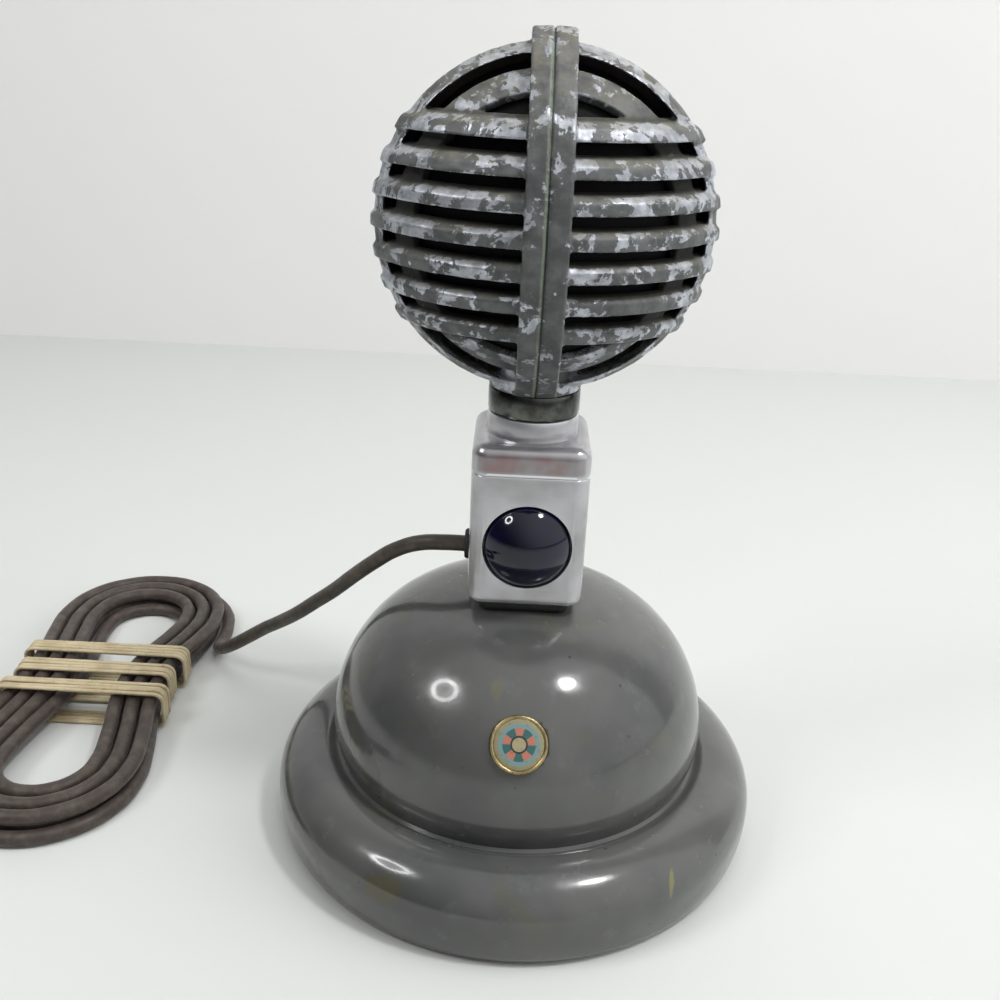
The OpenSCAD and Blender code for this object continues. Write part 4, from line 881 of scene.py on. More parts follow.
# %% One casting, melted together
def cast(name, *parts):
    """Melts overlapping closed parts into one skin with soft corners."""
    piece = weld(name, *parts)
    melt = piece.modifiers.new("melt", "REMESH")
    melt.mode = "VOXEL"
    melt.voxel_size = voxel * MM
    ease = piece.modifiers.new("ease", "SMOOTH")
    ease.factor = 0.5
    ease.iterations = 2
    return settle(piece)


head = cast("head", ribs, spine, rim, front_ring, rear_ring, boss)

# %% Room for the ring, the sleeve, its nut and four screws
screw_height, screw_inset = 25, 4
screw_y = sqrt((ball_radius - screw_inset) ** 2 - screw_height ** 2) - ball_shift
screw_radius, screw_length, screw_gap = 1.5, 6.4, 0.04
screw_head_radius, screw_head_height, screw_face, head_gap = 2.6, 1.6, 4.2, 0.1
seat_floor = screw_face - screw_head_height
seat_profile = [
    (screw_radius + screw_gap, seat_floor - screw_length - 0.5),
    (screw_radius + screw_gap, seat_floor),
    (screw_head_radius + head_gap, seat_floor),
    (screw_head_radius + head_gap, screw_face + 0.4),
]
rooms = [
    lathe("ring notch", [(notch_radius, height) for height in (-60, neck_z - head_z)]),
    lathe("sleeve bore", [(sleeve_radius, height) for height in (neck_z - head_z - 1, -1)]),
    lathe("nut pocket", [(pocket_radius, height) for height in (boss_top, -10)]),
]
for seat_y in (-screw_y, screw_y):
    for seat_z in (-screw_height, screw_height):
        rooms.append(lathe("screw seat", seat_profile, "X", (0, seat_y, seat_z), steps=48))
for room in rooms:
    carve(head, room, solver="MANIFOLD")
head.data.transform(Matrix.Translation((0, 0, head_z * MM)))
print("The head has", len(head.data.polygons), "faces")


# %% A rough skin, and how deep each point lies below the outline
def note(obj, name, values):
    """Keeps one number per point of a mesh, for its material to read."""
    attribute = obj.data.attributes.new(name, "FLOAT", "POINT")
    attribute.data.foreach_set("value", np.asarray(values, np.float32))


def point_arrays(obj):
    """Places and normals of a mesh's points, as arrays."""
    count = len(obj.data.vertices)
    places, normals = np.zeros(count * 3, np.float32), np.zeros(count * 3, np.float32)
    obj.data.vertices.foreach_get("co", places)
    obj.data.vertex_normals.foreach_get("vector", normals)
    return places.reshape(-1, 3), normals.reshape(-1, 3)


def roughen(obj, amount, size):
    """Moves points along their normals by noise, as a rough casting does."""
    places, normals = point_arrays(obj)
    coarse, fine = 1 / (size * MM), 2.5 / (size * MM)
    lift = [noise.noise(Vector(p) * coarse) + 0.5 * noise.noise(Vector(p) * fine)
            for p in places.tolist()]
    places += normals * (np.array(lift, np.float32)[:, None] * amount * MM)
    obj.data.vertices.foreach_set("co", places.ravel())
    obj.data.update()


def below_outline(places):
    """Depth in millimetres below the outline of the head."""
    x, y, z = (places / MM).T
    r = np.hypot(x, z - head_z)
    return np.minimum(head_radius - r, ball_radius - np.hypot(r, np.abs(y) + ball_shift))


skin_rough, skin_grain = 0.07, 2.2
roughen(head, skin_rough, skin_grain)

# %% Two castings that meet in the middle plane
box_side, box_depth, box_height = 80, 160, 220
halves = []
for name, side in (("left_casting", -1), ("right_casting", 1)):
    half = bpy.data.objects.new(name, head.data.copy())
    scene.collection.objects.link(half)
    side_box = block("side box", box_side, box_depth, 1, [(0, 0), (box_height, 0)])
    side_box.data.transform(Matrix.Translation((side * box_side / 2 * MM, 0, 0)))
    carve(half, side_box, how="INTERSECT", solver="MANIFOLD")
    places, normals = point_arrays(half)
    note(half, "below", below_outline(places))
    note(half, "upward", normals[:, 2])
    shade(half, 60)
    halves.append(half)
    print(name, "has", len(half.data.polygons), "faces")
left_casting, right_casting = halves
bpy.data.objects.remove(head)

# %% [markdown]
# ## Screws of the head
# Four slotted screws close the castings from the right. They are the same screw four times, so
# a small tree puts one on each of four points, and cuts its slot at a different angle.

# %% The tree that sets slotted screws on points
screws, given = plant("slotted screws on points", Points="Object", Head_radius="Float",
                      Head_height="Float", Shank_radius="Float", Shank_length="Float",
                      Slot="Float")


def rod(radius, depth, middle):
    """A round rod of the screw, at a height of its middle."""
    drawn = add(screws, "GeometryNodeMeshCylinder", {
        "Vertices": 32, "Radius": radius, "Depth": depth}).outputs[0]
    shift = add(screws, "ShaderNodeCombineXYZ", {"Z": middle}).outputs[0]
    return add(screws, "GeometryNodeTransform", {
        "Geometry": drawn, "Translation": shift}).outputs[0]


disc = rod(given["Head radius"], given["Head height"],
           reckon(screws, "MULTIPLY", given["Head height"], -0.5))
slot_length = reckon(screws, "MULTIPLY", given["Head radius"], 3.0)
slot_size = add(screws, "ShaderNodeCombineXYZ", {
    "X": slot_length, "Y": given["Slot"], "Z": given["Slot"]}).outputs[0]
slot_bar = add(screws, "GeometryNodeMeshCube", {"Size": slot_size}).outputs[0]
slotted = add(screws, "GeometryNodeMeshBoolean", {0: disc, 1: slot_bar},
              operation="DIFFERENCE").outputs[0]
sunk = reckon(screws, "MULTIPLY", given["Shank length"], -0.5)
shank = rod(given["Shank radius"], given["Shank length"],
            reckon(screws, "SUBTRACT", sunk, given["Head height"]))
one_screw = add(screws, "GeometryNodeJoinGeometry")
screws.links.new(slotted, one_screw.inputs[0])
screws.links.new(shank, one_screw.inputs[0])

# Each screw is spun by chance round its own axis, and then laid on its side.
spots = add(screws, "GeometryNodeObjectInfo", {"Object": given["Points"]}).outputs["Geometry"]
spin = add(screws, "FunctionNodeRandomValue", {
    "Min": (0, 0, 0), "Max": (0, 0, 3), "Seed": 7}, data_type="FLOAT_VECTOR").outputs[0]
aim = add(screws, "FunctionNodeEulerToRotation", {0: spin}).outputs[0]
face_side = add(screws, "FunctionNodeRotateRotation", {0: aim, 1: (0, pi / 2, 0)}).outputs[0]
set_on = add(screws, "GeometryNodeInstanceOnPoints", {
    "Points": spots, "Instance": one_screw.outputs[0], "Rotation": face_side}).outputs[0]
real = add(screws, "GeometryNodeRealizeInstances", {0: set_on}).outputs[0]
end_tree(screws, real, given["Material"])

# %% Four screws in the side of the head
screw_slot = 0.7
screw_spots = bpy.data.meshes.new("screw spots")
screw_spots.from_pydata(metres([
    (screw_face, y * screw_y, head_z + z * screw_height) for y in (-1, 1) for z in (-1, 1)
]), [], [])
spots_object = bpy.data.objects.new("screw spots", screw_spots)
scene.collection.objects.link(spots_object)
head_screws = grow("head_screws", screws, Points=spots_object,
                   Head_radius=screw_head_radius * MM, Head_height=screw_head_height * MM,
                   Shank_radius=screw_radius * MM, Shank_length=screw_length * MM,
                   Slot=screw_slot * MM)
bpy.data.objects.remove(spots_object)
print("Screws reach", [round(c / MM, 1) for c in head_screws.dimensions])

# %% [markdown]
# ## Rubber bands on the hank
# The hank is held by cream rubber bands, wound over themselves. One tree draws the path round
# the runs, repeats it a few times along the hank, each turn leaning a little its own way, and
# gives each turn a flat section. Each of the three bundles has its own width, because the hank
# is waisted.

# %% The tree that winds a band
bands, given = plant("wind a rubber band", Turns="Int", Step="Float", Width="Float",
                     Height="Float", Corner="Float", Band_width="Float",
                     Band_thickness="Float", Lean="Float", Seed="Int")


def round_oblong(width, height, corner, corner_points):
    """A closed curve: an oblong with round corners."""
    drawn = add(bands, "GeometryNodeCurvePrimitiveQuadrilateral", {
        "Width": width, "Height": height}).outputs[0]
    return add(bands, "GeometryNodeFilletCurve", {
        "Curve": drawn, "Radius": corner, "Count": corner_points}, mode="POLY").outputs[0]


path = round_oblong(given["Width"], given["Height"], given["Corner"], 6)
flat = round_oblong(given["Band thickness"], given["Band width"],
                    reckon(bands, "MULTIPLY", given["Band thickness"], 0.4), 3)
one_turn = add(bands, "GeometryNodeCurveToMesh", {"Curve": path, "Profile Curve": flat}).outputs[0]
first = reckon(bands, "MULTIPLY", reckon(bands, "SUBTRACT", given["Turns"], 1.0), -0.5)
first = reckon(bands, "MULTIPLY", first, given["Step"])
start = add(bands, "ShaderNodeCombineXYZ", {"Z": first}).outputs[0]
step = add(bands, "ShaderNodeCombineXYZ", {"Z": given["Step"]}).outputs[0]
row = add(bands, "GeometryNodeMeshLine", {
    "Count": given["Turns"], "Start Location": start, "Offset": step}).outputs[0]
chance = add(bands, "FunctionNodeRandomValue", {
    "Min": (-1, -1, -1), "Max": (1, 1, 1), "Seed": given["Seed"]},
    data_type="FLOAT_VECTOR").outputs[0]
leaning = add(bands, "ShaderNodeVectorMath", {0: chance, "Scale": given["Lean"]},
              operation="SCALE").outputs[0]
lean = add(bands, "FunctionNodeEulerToRotation", {0: leaning}).outputs[0]
wound = add(bands, "GeometryNodeInstanceOnPoints", {
    "Points": row, "Instance": one_turn, "Rotation": lean}).outputs[0]
real = add(bands, "GeometryNodeRealizeInstances", {0: wound}).outputs[0]
end_tree(bands, real, given["Material"])

# %% Three bundles of bands round the hank
bundle_pitch, bundle_width, bundle_room, bundle_corner = 10, 6, 0.3, 2.4
strand_width, strand_thickness, strand_middle = 1.3, 0.8, 1.0
strand_turns, strand_step, strand_lean, first_seed = 4, 1.45, 0.012, 5
stand_up = Matrix.Rotation(pi / 2, 4, "X")
bundles = []
for i in (-1, 0, 1):
    edge = abs(i * bundle_pitch) + bundle_width / 2
    side_room = fold_radius - pinch(edge) + cord_radius + bundle_room
    to_left = side_room + (turns_in - 0.25) * loop_step
    to_right = side_room + (turns_in - 0.75) * loop_step
    low = waist_lift * pinch(edge) / waist_pinch - bundle_room
    high = 2 * cord_radius + layer_rise + waist_lift + bundle_room
    bundle = grow(f"bundle {i}", bands, Turns=strand_turns, Step=strand_step * MM,
                  Width=(to_left + to_right + strand_middle) * MM,
                  Height=(high - low + strand_middle) * MM, Corner=bundle_corner * MM,
                  Band_width=strand_width * MM, Band_thickness=strand_thickness * MM,
                  Lean=strand_lean, Seed=first_seed + i)
    middle_x, middle_y = hank_x + (to_right - to_left) / 2, hank_y + i * bundle_pitch
    middle = Vector((middle_x, middle_y, (low + high) / 2)) * MM
    bundle.data.transform(Matrix.Translation(middle) @ stand_up)
    bundles.append(bundle)
rubber_bands = weld("rubber_bands", *bundles)

# %% [markdown]
# ## The plug
# The far end of the cord carries a quarter-inch plug. Its grip is turned black bakelite with
# rings to hold it by, and it narrows to a collar round the cord.

# %% Grip of the plug
plug_radius, plug_length, plug_bore = 6.2, 34, 2.0
groove_radius, groove_shoulder = 5.7, 6.0
first_ring, ring_count, ring_pitch = 8, 9, 2
grip = [(plug_bore, -0.01), (3.0, 0), (3.3, -0.6), (3.5, -4), (4.6, -6.5)]
for i in range(ring_count):
    ring_y = -first_ring - ring_pitch * i
    grip += [
        (groove_shoulder, ring_y), (plug_radius, ring_y - 0.3), (plug_radius, ring_y - 0.9),
        (groove_radius, ring_y - 1.2), (groove_radius, ring_y - 1.6),
    ]
grip += [
    (groove_shoulder, -27), (plug_radius, -27.6), (plug_radius, -33.2),
    (groove_radius, -plug_length), (plug_bore, -plug_length),
]
plug_grip = lathe("plug_grip", grip, "Y", (plug_x, plug_y, plug_z), closed=True, steps=64)

# %% [markdown]
# ## Grey stoving enamel
# The bell is sprayed and baked in a mid-grey enamel. It is a hard gloss with a slight orange
# peel, and years of handling show as dull patches, pinhead specks, and a brown cast low down.
# One shader with a smooth dielectric gloss gives the lamps clean reflections. Noise of several
# sizes varies the grey, the gloss and the surface, and four larger marks have their own places.

# %% Enamel
def mark(tree, place, centre, reach):
    """1 inside a blot round a point in millimetres, 0 outside. reach holds its three half sizes."""
    shifted = add(tree, "ShaderNodeVectorMath", {0: place, 1: Vector(centre) * MM},
                  operation="SUBTRACT").outputs[0]
    scaled = add(tree, "ShaderNodeVectorMath", {0: shifted, 1: [1 / (r * MM) for r in reach]},
                 operation="MULTIPLY").outputs[0]
    far = add(tree, "ShaderNodeVectorMath", {0: scaled}, operation="LENGTH").outputs["Value"]
    torn = reckon(tree, "SUBTRACT", grain(tree, place, 1.8, 5, 0.65), 0.5)
    return between(tree, reckon(tree, "ADD", far, torn), 0.5, 1.0, 1, 0)


enamel, tree, shader, place = finish("stoved_grey_enamel", Metallic=0.0, Coat_Weight=0.35,
                                     Coat_Roughness=0.05)
cloud = grain(tree, place, 26, 3)
tone = blend(tree, between(tree, cloud, 0.35, 0.65), ink("4a4b4b"), ink("595a58"))
stain = between(tree, grain(tree, place, 17, 5, 0.6, 0.6), 0.56, 0.74, 0, 0.5)
tone = cover(tree, tone, "57543f", stain)
rub = between(tree, grain(tree, place, 5.5, 6, 0.65), 0.56, 0.72, 0, 0.25)
tone = cover(tree, tone, "6e7072", rub)
large_marks = (
    ((-27.7, -51, 13), (7, 5, 4), 0.55, "545031"),
    ((34.2, -45.8, 14.5), (0.7, 3, 4.0), 0.7, "837e48"),
    ((-5.1, -32.1, 51.6), (1.6, 3, 4.5), 0.5, "6a664c"),
    ((-31, -30, 27), (5, 5, 7), 0.5, "333531"),
)
for centre, reach, strength, code in large_marks:
    tone = cover(tree, tone, code, mark(tree, place, centre, reach), strength)
pits = add(tree, "ShaderNodeTexVoronoi", {"Vector": place, "Scale": 1 / (4.2 * MM),
           "Randomness": 1.0}).outputs["Distance"]
pit_room = grain(tree, place, 6, 2)
speck = reckon(tree, "MULTIPLY", between(tree, pits, 0.04, 0.12, 1, 0),
               between(tree, pit_room, 0.47, 0.6))
tone = cover(tree, tone, "26241f", speck, 0.7)
peel = grain(tree, place, 1.8, 2)
haze = between(tree, grain(tree, place, 9, 6, 0.6), 0.4, 0.75, 0.14, 0.3)
paint_on(tree, shader, Base_Color=tone, Roughness=haze)
dents = reckon(tree, "MULTIPLY", speck, 2.0)
relief(tree, shader, reckon(tree, "SUBTRACT", peel, dents), 0.016)

# %% [markdown]
# ## Worn lacquer on cast zinc
# The head was sprayed dark grey over raw zinc castings. The paint has come off the proud faces
# of the ribs in ragged flakes, down to pale bluish metal, and it still sits in the hollows.
# The upward bevels of the ribs are worn pale, which is also a painted highlight. Brownish dust
# lies on the faces that look upwards. The hollows between the ribs, the creases and the inside
# of the head are painted dark as shade. The material reads three things from the mesh: how deep
# a point lies below the outline, how far its surface looks upwards, and how sharp the edge is
# there.

# %% Worn zinc
worn_zinc, tree, shader, place = finish("worn_lacquer_on_cast_zinc", IOR=1.5)
below = add(tree, "ShaderNodeAttribute", attribute_name="below").outputs["Fac"]
upward = add(tree, "ShaderNodeAttribute", attribute_name="upward").outputs["Fac"]
sharp = add(tree, "ShaderNodeNewGeometry").outputs["Pointiness"]
spot = add(tree, "ShaderNodeSeparateXYZ", {0: place})
flakes = grain(tree, place, 5.2, 9, 0.64, 0.35)
fine_flakes = reckon(tree, "SUBTRACT", grain(tree, place, 1.5, 6, 0.62), 0.5)
edge = between(tree, sharp, 0.52, 0.6, 0, 0.12)
level = reckon(tree, "ABSOLUTE", reckon(tree, "SUBTRACT", spot.outputs["Z"], head_z * MM))
ribs_end, rim_alone = 20.5 * MM, 22.5 * MM
among_ribs = between(tree, level, ribs_end, rim_alone, 1, 0)
proud = reckon(tree, "MULTIPLY", between(tree, below, 0.7, 2.2, 0.0, -0.14), among_ribs)
# The pale upward bevels of the ribs are wear, and also a painted highlight from above.
bevel_wear_and_highlight = reckon(tree, "MULTIPLY", between(tree, upward, 0.25, 0.6, 0, 0.035),
                  between(tree, below, 1.6, 1.0))
on_spine = between(tree, below, -0.9, -0.3, -0.06, 0.0)
score = flakes
for part in (edge, proud, bevel_wear_and_highlight, on_spine, reckon(tree, "MULTIPLY", fine_flakes, 0.2)):
    score = reckon(tree, "ADD", score, part)
bare = between(tree, score, 0.524, 0.536)
cloud = between(tree, grain(tree, place, 5, 5), 0.35, 0.7)
paint = blend(tree, cloud, ink("484a4b"), ink("696a6b"))
paint = cover(tree, paint, "75777a", between(tree, score, 0.485, 0.525, 0, 0.5))
cloud = between(tree, grain(tree, place, 2.4, 5), 0.35, 0.7)
metal = blend(tree, cloud, ink("9da1a8"), ink("cdd1d9"))
coat = blend(tree, bare, paint, metal)
dust = reckon(tree, "MULTIPLY", between(tree, upward, 0.3, 0.9),
              between(tree, grain(tree, place, 2.6, 7, 0.7), 0.36, 0.62))
coat = cover(tree, coat, "84806a", dust, 0.55)
# Painted shade: concave creases are darkened.
coat = cover(tree, coat, "2b2920", between(tree, sharp, 0.49, 0.43), 0.8)
# Painted shade: between the ribs, faces that lie deeper below the outline are darkened, as the ribs
# shade them.
deep = reckon(tree, "MULTIPLY", between(tree, below, 0.9, 2.5), among_ribs)
coat = cover(tree, coat, "141310", deep, 0.92)
# Painted shade: the inside of the head, far below the outline, is made nearly black.
coat = cover(tree, coat, "0e0e0e", between(tree, below, 4.6, 6.5, 0, 0.9))

# The seam of the two castings: a dark line, with verdigris beside it.
across = spot.outputs["X"]
crust_beside, crust_full, crust_end = 0.4 * MM, 0.2 * MM, 0.5 * MM
seam_full, seam_end = 0.1 * MM, 0.24 * MM
on_face = between(tree, below, -0.2, -0.8)
from_crust = reckon(tree, "ABSOLUTE", reckon(tree, "ADD", across, crust_beside))
broken = between(tree, grain(tree, place, 2.0, 5, 0.6), 0.35, 0.6, 0.2, 0.75)
crust = reckon(tree, "MULTIPLY", broken, between(tree, from_crust, crust_full, crust_end, 1, 0))
coat = cover(tree, coat, "76856f", crust, on_face)
from_seam = reckon(tree, "ABSOLUTE", across)
coat = cover(tree, coat, "16171a", between(tree, from_seam, seam_full, seam_end, 0.9, 0), on_face)

# Gloss and shine: bare metal shines a little, and dust and hollows are dull.
hidden = reckon(tree, "MAXIMUM", dust, deep)
open_metal = reckon(tree, "MULTIPLY", bare, 0.6)
metallic = reckon(tree, "MULTIPLY", open_metal, reckon(tree, "SUBTRACT", 1.0, hidden))
gloss = blend(tree, bare, (0.42, 0.42, 0.42, 1), (0.36, 0.36, 0.36, 1))
gloss = blend(tree, hidden, gloss, (0.85, 0.85, 0.85, 1))
paint_on(tree, shader, Base_Color=coat, Metallic=metallic, Roughness=gloss)
relief(tree, shader, reckon(tree, "SUBTRACT", grain(tree, place, 0.9, 4, 0.6), open_metal), 0.09)

# %% [markdown]
# ## Worn plating on the switch case
# The case is plated brass with a satin sheen. Handling has scratched it in all directions and
# left grey bloom, and has polished the edges brighter; their pale colour is also a painted
# highlight. The front of the upper box is painted darker as shade, with a faint red bloom.
# Satin comes from a middling roughness, and the marks are kept shallow, so that the flat
# faces still read as flat.

# %% Satin plating
plating, tree, shader, place = finish("worn_satin_plating", Metallic=0.66)
bloom = between(tree, grain(tree, place, 14, 3, 0.5), 0.36, 0.7)
tone = blend(tree, bloom, ink("bcbbbf"), ink("a09fa1"))
# The rounded edges are painted pale: polish from handling, and also a painted highlight.
rubbed_and_highlit = between(tree, add(tree, "ShaderNodeNewGeometry").outputs["Pointiness"], 0.51, 0.56)
tone = cover(tree, tone, "eef0f4", rubbed_and_highlit, 0.9)
scratches = []
for turned, drawn_out, width, start in (
        ((0.2, 0.5, 0.9), (1, 0.06, 1), 0.5, 0.62),
        ((0.6, -0.3, -0.4), (0.05, 1, 1), 0.6, 0.63)):
    stretched = add(tree, "ShaderNodeMapping", {
        "Vector": place, "Rotation": turned, "Scale": drawn_out}).outputs[0]
    scratches.append(between(tree, grain(tree, stretched, width, 3), start, 0.7))
scored = reckon(tree, "MAXIMUM", *scratches)
tone = cover(tree, tone, "868686", scored, 0.14)

# Painted shade: the front of the upper box, between the parting line and the rounded top, is
# darkened, and a faint red bloom lies over it.
spot = add(tree, "ShaderNodeSeparateXYZ", {0: place})
band_low, band_high, band_fade = (case_part + 0.5) * MM, (case_high - 1.1) * MM, 1 * MM
front_start, front_full = (1.2 - case_depth / 2) * MM, (0.4 - case_depth / 2) * MM
upper_box_band = reckon(tree, "MULTIPLY",
                   between(tree, spot.outputs["Z"], band_low, band_low + band_fade),
                   between(tree, spot.outputs["Z"], band_high, band_high - band_fade))
shaded_and_red_front = reckon(tree, "MULTIPLY", upper_box_band,
                    between(tree, spot.outputs["Y"], front_start, front_full))
# The darker grey is painted shade; the red over it is bloom.
tone = cover(tree, tone, "858386", shaded_and_red_front, 0.62)
red_dust = between(tree, grain(tree, place, 7, 3, 0.5), 0.4, 0.62, 0.05, 0.45)
tone = cover(tree, tone, "96625c", shaded_and_red_front, red_dust)
gloss = between(tree, grain(tree, place, 5, 4, 0.5), 0.3, 0.7, 0.2, 0.27)
gloss = blend(tree, rubbed_and_highlit, gloss, (0.16, 0.16, 0.16, 1))
paint_on(tree, shader, Base_Color=tone, Roughness=gloss)
relief(tree, shader, reckon(tree, "MULTIPLY", scored, -1.0), 0.003)

# %% [markdown]
# ## The other metals
# The remaining metals differ in colour, polish and in how they were made: the ring is polished
# dark nickel, the fittings are turned steel or brass with fine rings of tool marks, the leaves
# are rolled bronze, and the ballast is a rough iron casting.

# %% One rule for metal
def metal_finish(name, light, dark, rough_low, rough_high, spot_size, lines=(1, 1, 1)):
    """A metal that wanders between two colours. lines stretches its fine marks along an axis."""
    material, tree, shader, place = finish(name, Metallic=1.0)
    patch = between(tree, grain(tree, place, spot_size, 6, 0.62), 0.36, 0.68)
    marked = add(tree, "ShaderNodeMapping", {"Vector": place, "Scale": lines}).outputs[0]
    fine = grain(tree, marked, 0.35, 4)
    tone = blend(tree, patch, ink(light), ink(dark))
    tone = cover(tree, tone, dark, between(tree, fine, 0.4, 0.7, 0, 0.25))
    gloss = between(tree, fine, 0.25, 0.75, rough_low, rough_high)
    paint_on(tree, shader, Base_Color=tone, Roughness=gloss)
    relief(tree, shader, fine, 0.008)
    return material


metals = {
    "dark_nickel": metal_finish("polished_dark_nickel", "656661", "3a3b39", 0.07, 0.13, 5, (1, 1, 4)),
    "steel": metal_finish("bright_turned_steel", "b4b5b4", "8e8f8e", 0.2, 0.38, 3, (1, 1, 6)),
    "iron": metal_finish("rough_iron_casting", "3a3a3c", "26231f", 0.55, 0.8, 2),
    "brass": metal_finish("aged_turned_brass", "c4b083", "8d7f58", 0.24, 0.4, 2.5),
    "leaf_bronze": metal_finish("rolled_spring_bronze", "b98a58", "8d6238", 0.22, 0.35, 4, (6, 1, 1)),
    "contact_silver": metal_finish("silver_contact_rivet", "dcdcd8", "a8a69c", 0.18, 0.34, 1),
    "cartridge_tin": metal_finish("pressed_aluminium", "b3b5b6", "94989a", 0.3, 0.45, 5),
    "foil": metal_finish("thin_bright_foil", "d6d7d7", "b2b4b4", 0.12, 0.3, 2),
}

# %% [markdown]
# ## Rubber, plastics, board and felt
# The soft and moulded pieces share a dielectric shader. Rubber is dull with a dusty bloom,
# phenolic takes a polish like glass, laminated board is dark brown and fibrous, and felt is
# matted.

# %% One rule for moulded pieces
def moulded(name, light, dark, rough_low, rough_high, spot_size, depth=0.02, grain_size=0.8,
            sheen=0.0, coat=0.0, lines=(1, 1, 1)):
    """A dielectric that wanders between two colours, with a grain of a size and a depth."""
    material, tree, shader, place = finish(name, Metallic=0.0, Sheen_Weight=sheen,
                                           Coat_Weight=coat, Coat_Roughness=0.03)
    patch = between(tree, grain(tree, place, spot_size, 6, 0.62), 0.36, 0.68)
    marked = add(tree, "ShaderNodeMapping", {"Vector": place, "Scale": lines}).outputs[0]
    fine = grain(tree, marked, grain_size, 5, 0.6)
    tone = blend(tree, patch, ink(light), ink(dark))
    gloss = between(tree, fine, 0.25, 0.75, rough_low, rough_high)
    paint_on(tree, shader, Base_Color=tone, Roughness=gloss)
    relief(tree, shader, fine, depth)
    return material


moulds = {
    "black_rubber": moulded("moulded_black_rubber", "101010", "1d1c1a", 0.5, 0.75, 4, 0.03),
    "button_plastic": moulded("polished_blue_black_phenolic", "05051a", "0b0c2c", 0.05, 0.1, 6,
                              0.003, 2.5, coat=0.1),
    "plug_bakelite": moulded("black_bakelite", "0e0c0b", "1a1613", 0.14, 0.28, 5, 0.006, 1.2),
    "fibre_board": moulded("brown_laminated_board", "33261f", "241b16", 0.5, 0.7, 3, 0.03, 0.5,
                           lines=(1, 6, 1)),
    "wire_plastic": moulded("insulated_red_wire", "7c1f18", "5c1712", 0.35, 0.5, 2, 0.01),
    "felt": moulded("pressed_green_felt", "2f3b2c", "222c20", 0.85, 0.95, 2, 0.12, 0.4, sheen=0.4),
}

# %% [markdown]
# ## The cord's rubber and the bands
# The cord's rubber has gone brown with age, paler and dustier where it was handled, and a touch
# of violet where it lay folded. The bands are cream, with dirt along them.

# %% Cord rubber
cord_rubber, tree, shader, place = finish("aged_brown_cord_rubber", Metallic=0.0,
                                          Sheen_Weight=0.1)
across = add(tree, "ShaderNodeSeparateXYZ", {0: place}).outputs["X"]
free_end, hank_start = -60 * MM, -100 * MM
tone = blend(tree, between(tree, across, free_end, hank_start), ink("3d362b"), ink("3c322e"))
dusty = between(tree, grain(tree, place, 4, 7, 0.68), 0.42, 0.68, 0, 0.55)
tone = cover(tree, tone, "625a4d", dusty)
scuff = between(tree, grain(tree, place, 0.9, 5, 0.6), 0.55, 0.72, 0, 0.5)
tone = cover(tree, tone, "3a322b", scuff)
gloss = between(tree, grain(tree, place, 2.2, 5), 0.3, 0.7, 0.42, 0.62)
paint_on(tree, shader, Base_Color=tone, Roughness=gloss)
relief(tree, shader, grain(tree, place, 0.8, 4), 0.03)

# %% Cream bands
band_rubber, tree, shader, place = finish("cream_rubber_band", Metallic=0.0, Roughness=0.55,
                                          Subsurface_Weight=0.1, Subsurface_Scale=0.6 * MM)
yellowed = between(tree, grain(tree, place, 6, 5), 0.35, 0.7)
tone = blend(tree, yellowed, ink("cbbd9c"), ink("b5a582"))
dirt = between(tree, grain(tree, place, 1.3, 6, 0.7), 0.56, 0.7, 0, 0.6)
tone = cover(tree, tone, "7d6f55", dirt)
paint_on(tree, shader, Base_Color=tone)
relief(tree, shader, grain(tree, place, 0.5, 4), 0.03)

# %% [markdown]
# ## Gauze and crystal
# Behind the ribs lies blackened wire gauze. Its weave is two sets of waves at right angles,
# which is enough at this scale. The crystal is a waxy plate of salt, pale and clouded.

# %% Gauze
gauze, tree, shader, place = finish("blackened_wire_gauze", Metallic=0.6, Roughness=0.6)
spot = add(tree, "ShaderNodeSeparateXYZ", {0: place})
wire_spacing = 0.7
weave = []
for axis in ("X", "Z"):
    turns = reckon(tree, "MULTIPLY", spot.outputs[axis], 2 * pi / (wire_spacing * MM))
    weave.append(reckon(tree, "ABSOLUTE", reckon(tree, "SINE", turns)))
wires = reckon(tree, "MAXIMUM", *weave)
tone = blend(tree, between(tree, wires, 0.6, 0.95), ink("060606"), ink("1d1d1e"))
paint_on(tree, shader, Base_Color=tone)
relief(tree, shader, wires, 0.12)

# %% Crystal
crystal, tree, shader, place = finish("waxed_salt_crystal", Metallic=0.0, Roughness=0.25,
                                      Transmission_Weight=0.15)
clouded = between(tree, grain(tree, place, 2.5, 5), 0.35, 0.7)
tone = blend(tree, clouded, ink("dfe3df"), ink("c4c9c2"))
paint_on(tree, shader, Base_Color=tone)
relief(tree, shader, grain(tree, place, 1.0, 4), 0.02)

# %% [markdown]
# ## Enamel of the badge
# The badge's colours are fired in flat fields. The material finds the distance from the middle
# of the badge and the angle round it, and paints five coral rays on teal, with a cream middle
# and a pale blue and a cream ring round them. The pattern is a plain one, made for this model.

# %% Badge enamel
badge_enamel, tree, shader, place = finish("fired_badge_enamel", Metallic=0.0, Roughness=0.22,
                                           Coat_Weight=0.5, Coat_Roughness=0.08)
about = add(tree, "ShaderNodeVectorMath", {0: place, 1: badge_centre},
            operation="SUBTRACT").outputs[0]
laid_flat = add(tree, "ShaderNodeVectorRotate", {"Vector": about, "Angle": badge_tilt - pi / 2},
                rotation_type="X_AXIS").outputs[0]
on_badge = add(tree, "ShaderNodeSeparateXYZ", {0: laid_flat})
bx, by = on_badge.outputs["X"], on_badge.outputs["Y"]
from_middle = reckon(tree, "SQRT", reckon(tree, "ADD", reckon(tree, "MULTIPLY", bx, bx),
                                          reckon(tree, "MULTIPLY", by, by)))
ray_count, field_edge = 5, 0.1
round_it = reckon(tree, "MULTIPLY", reckon(tree, "ARCTAN2", by, bx), ray_count)
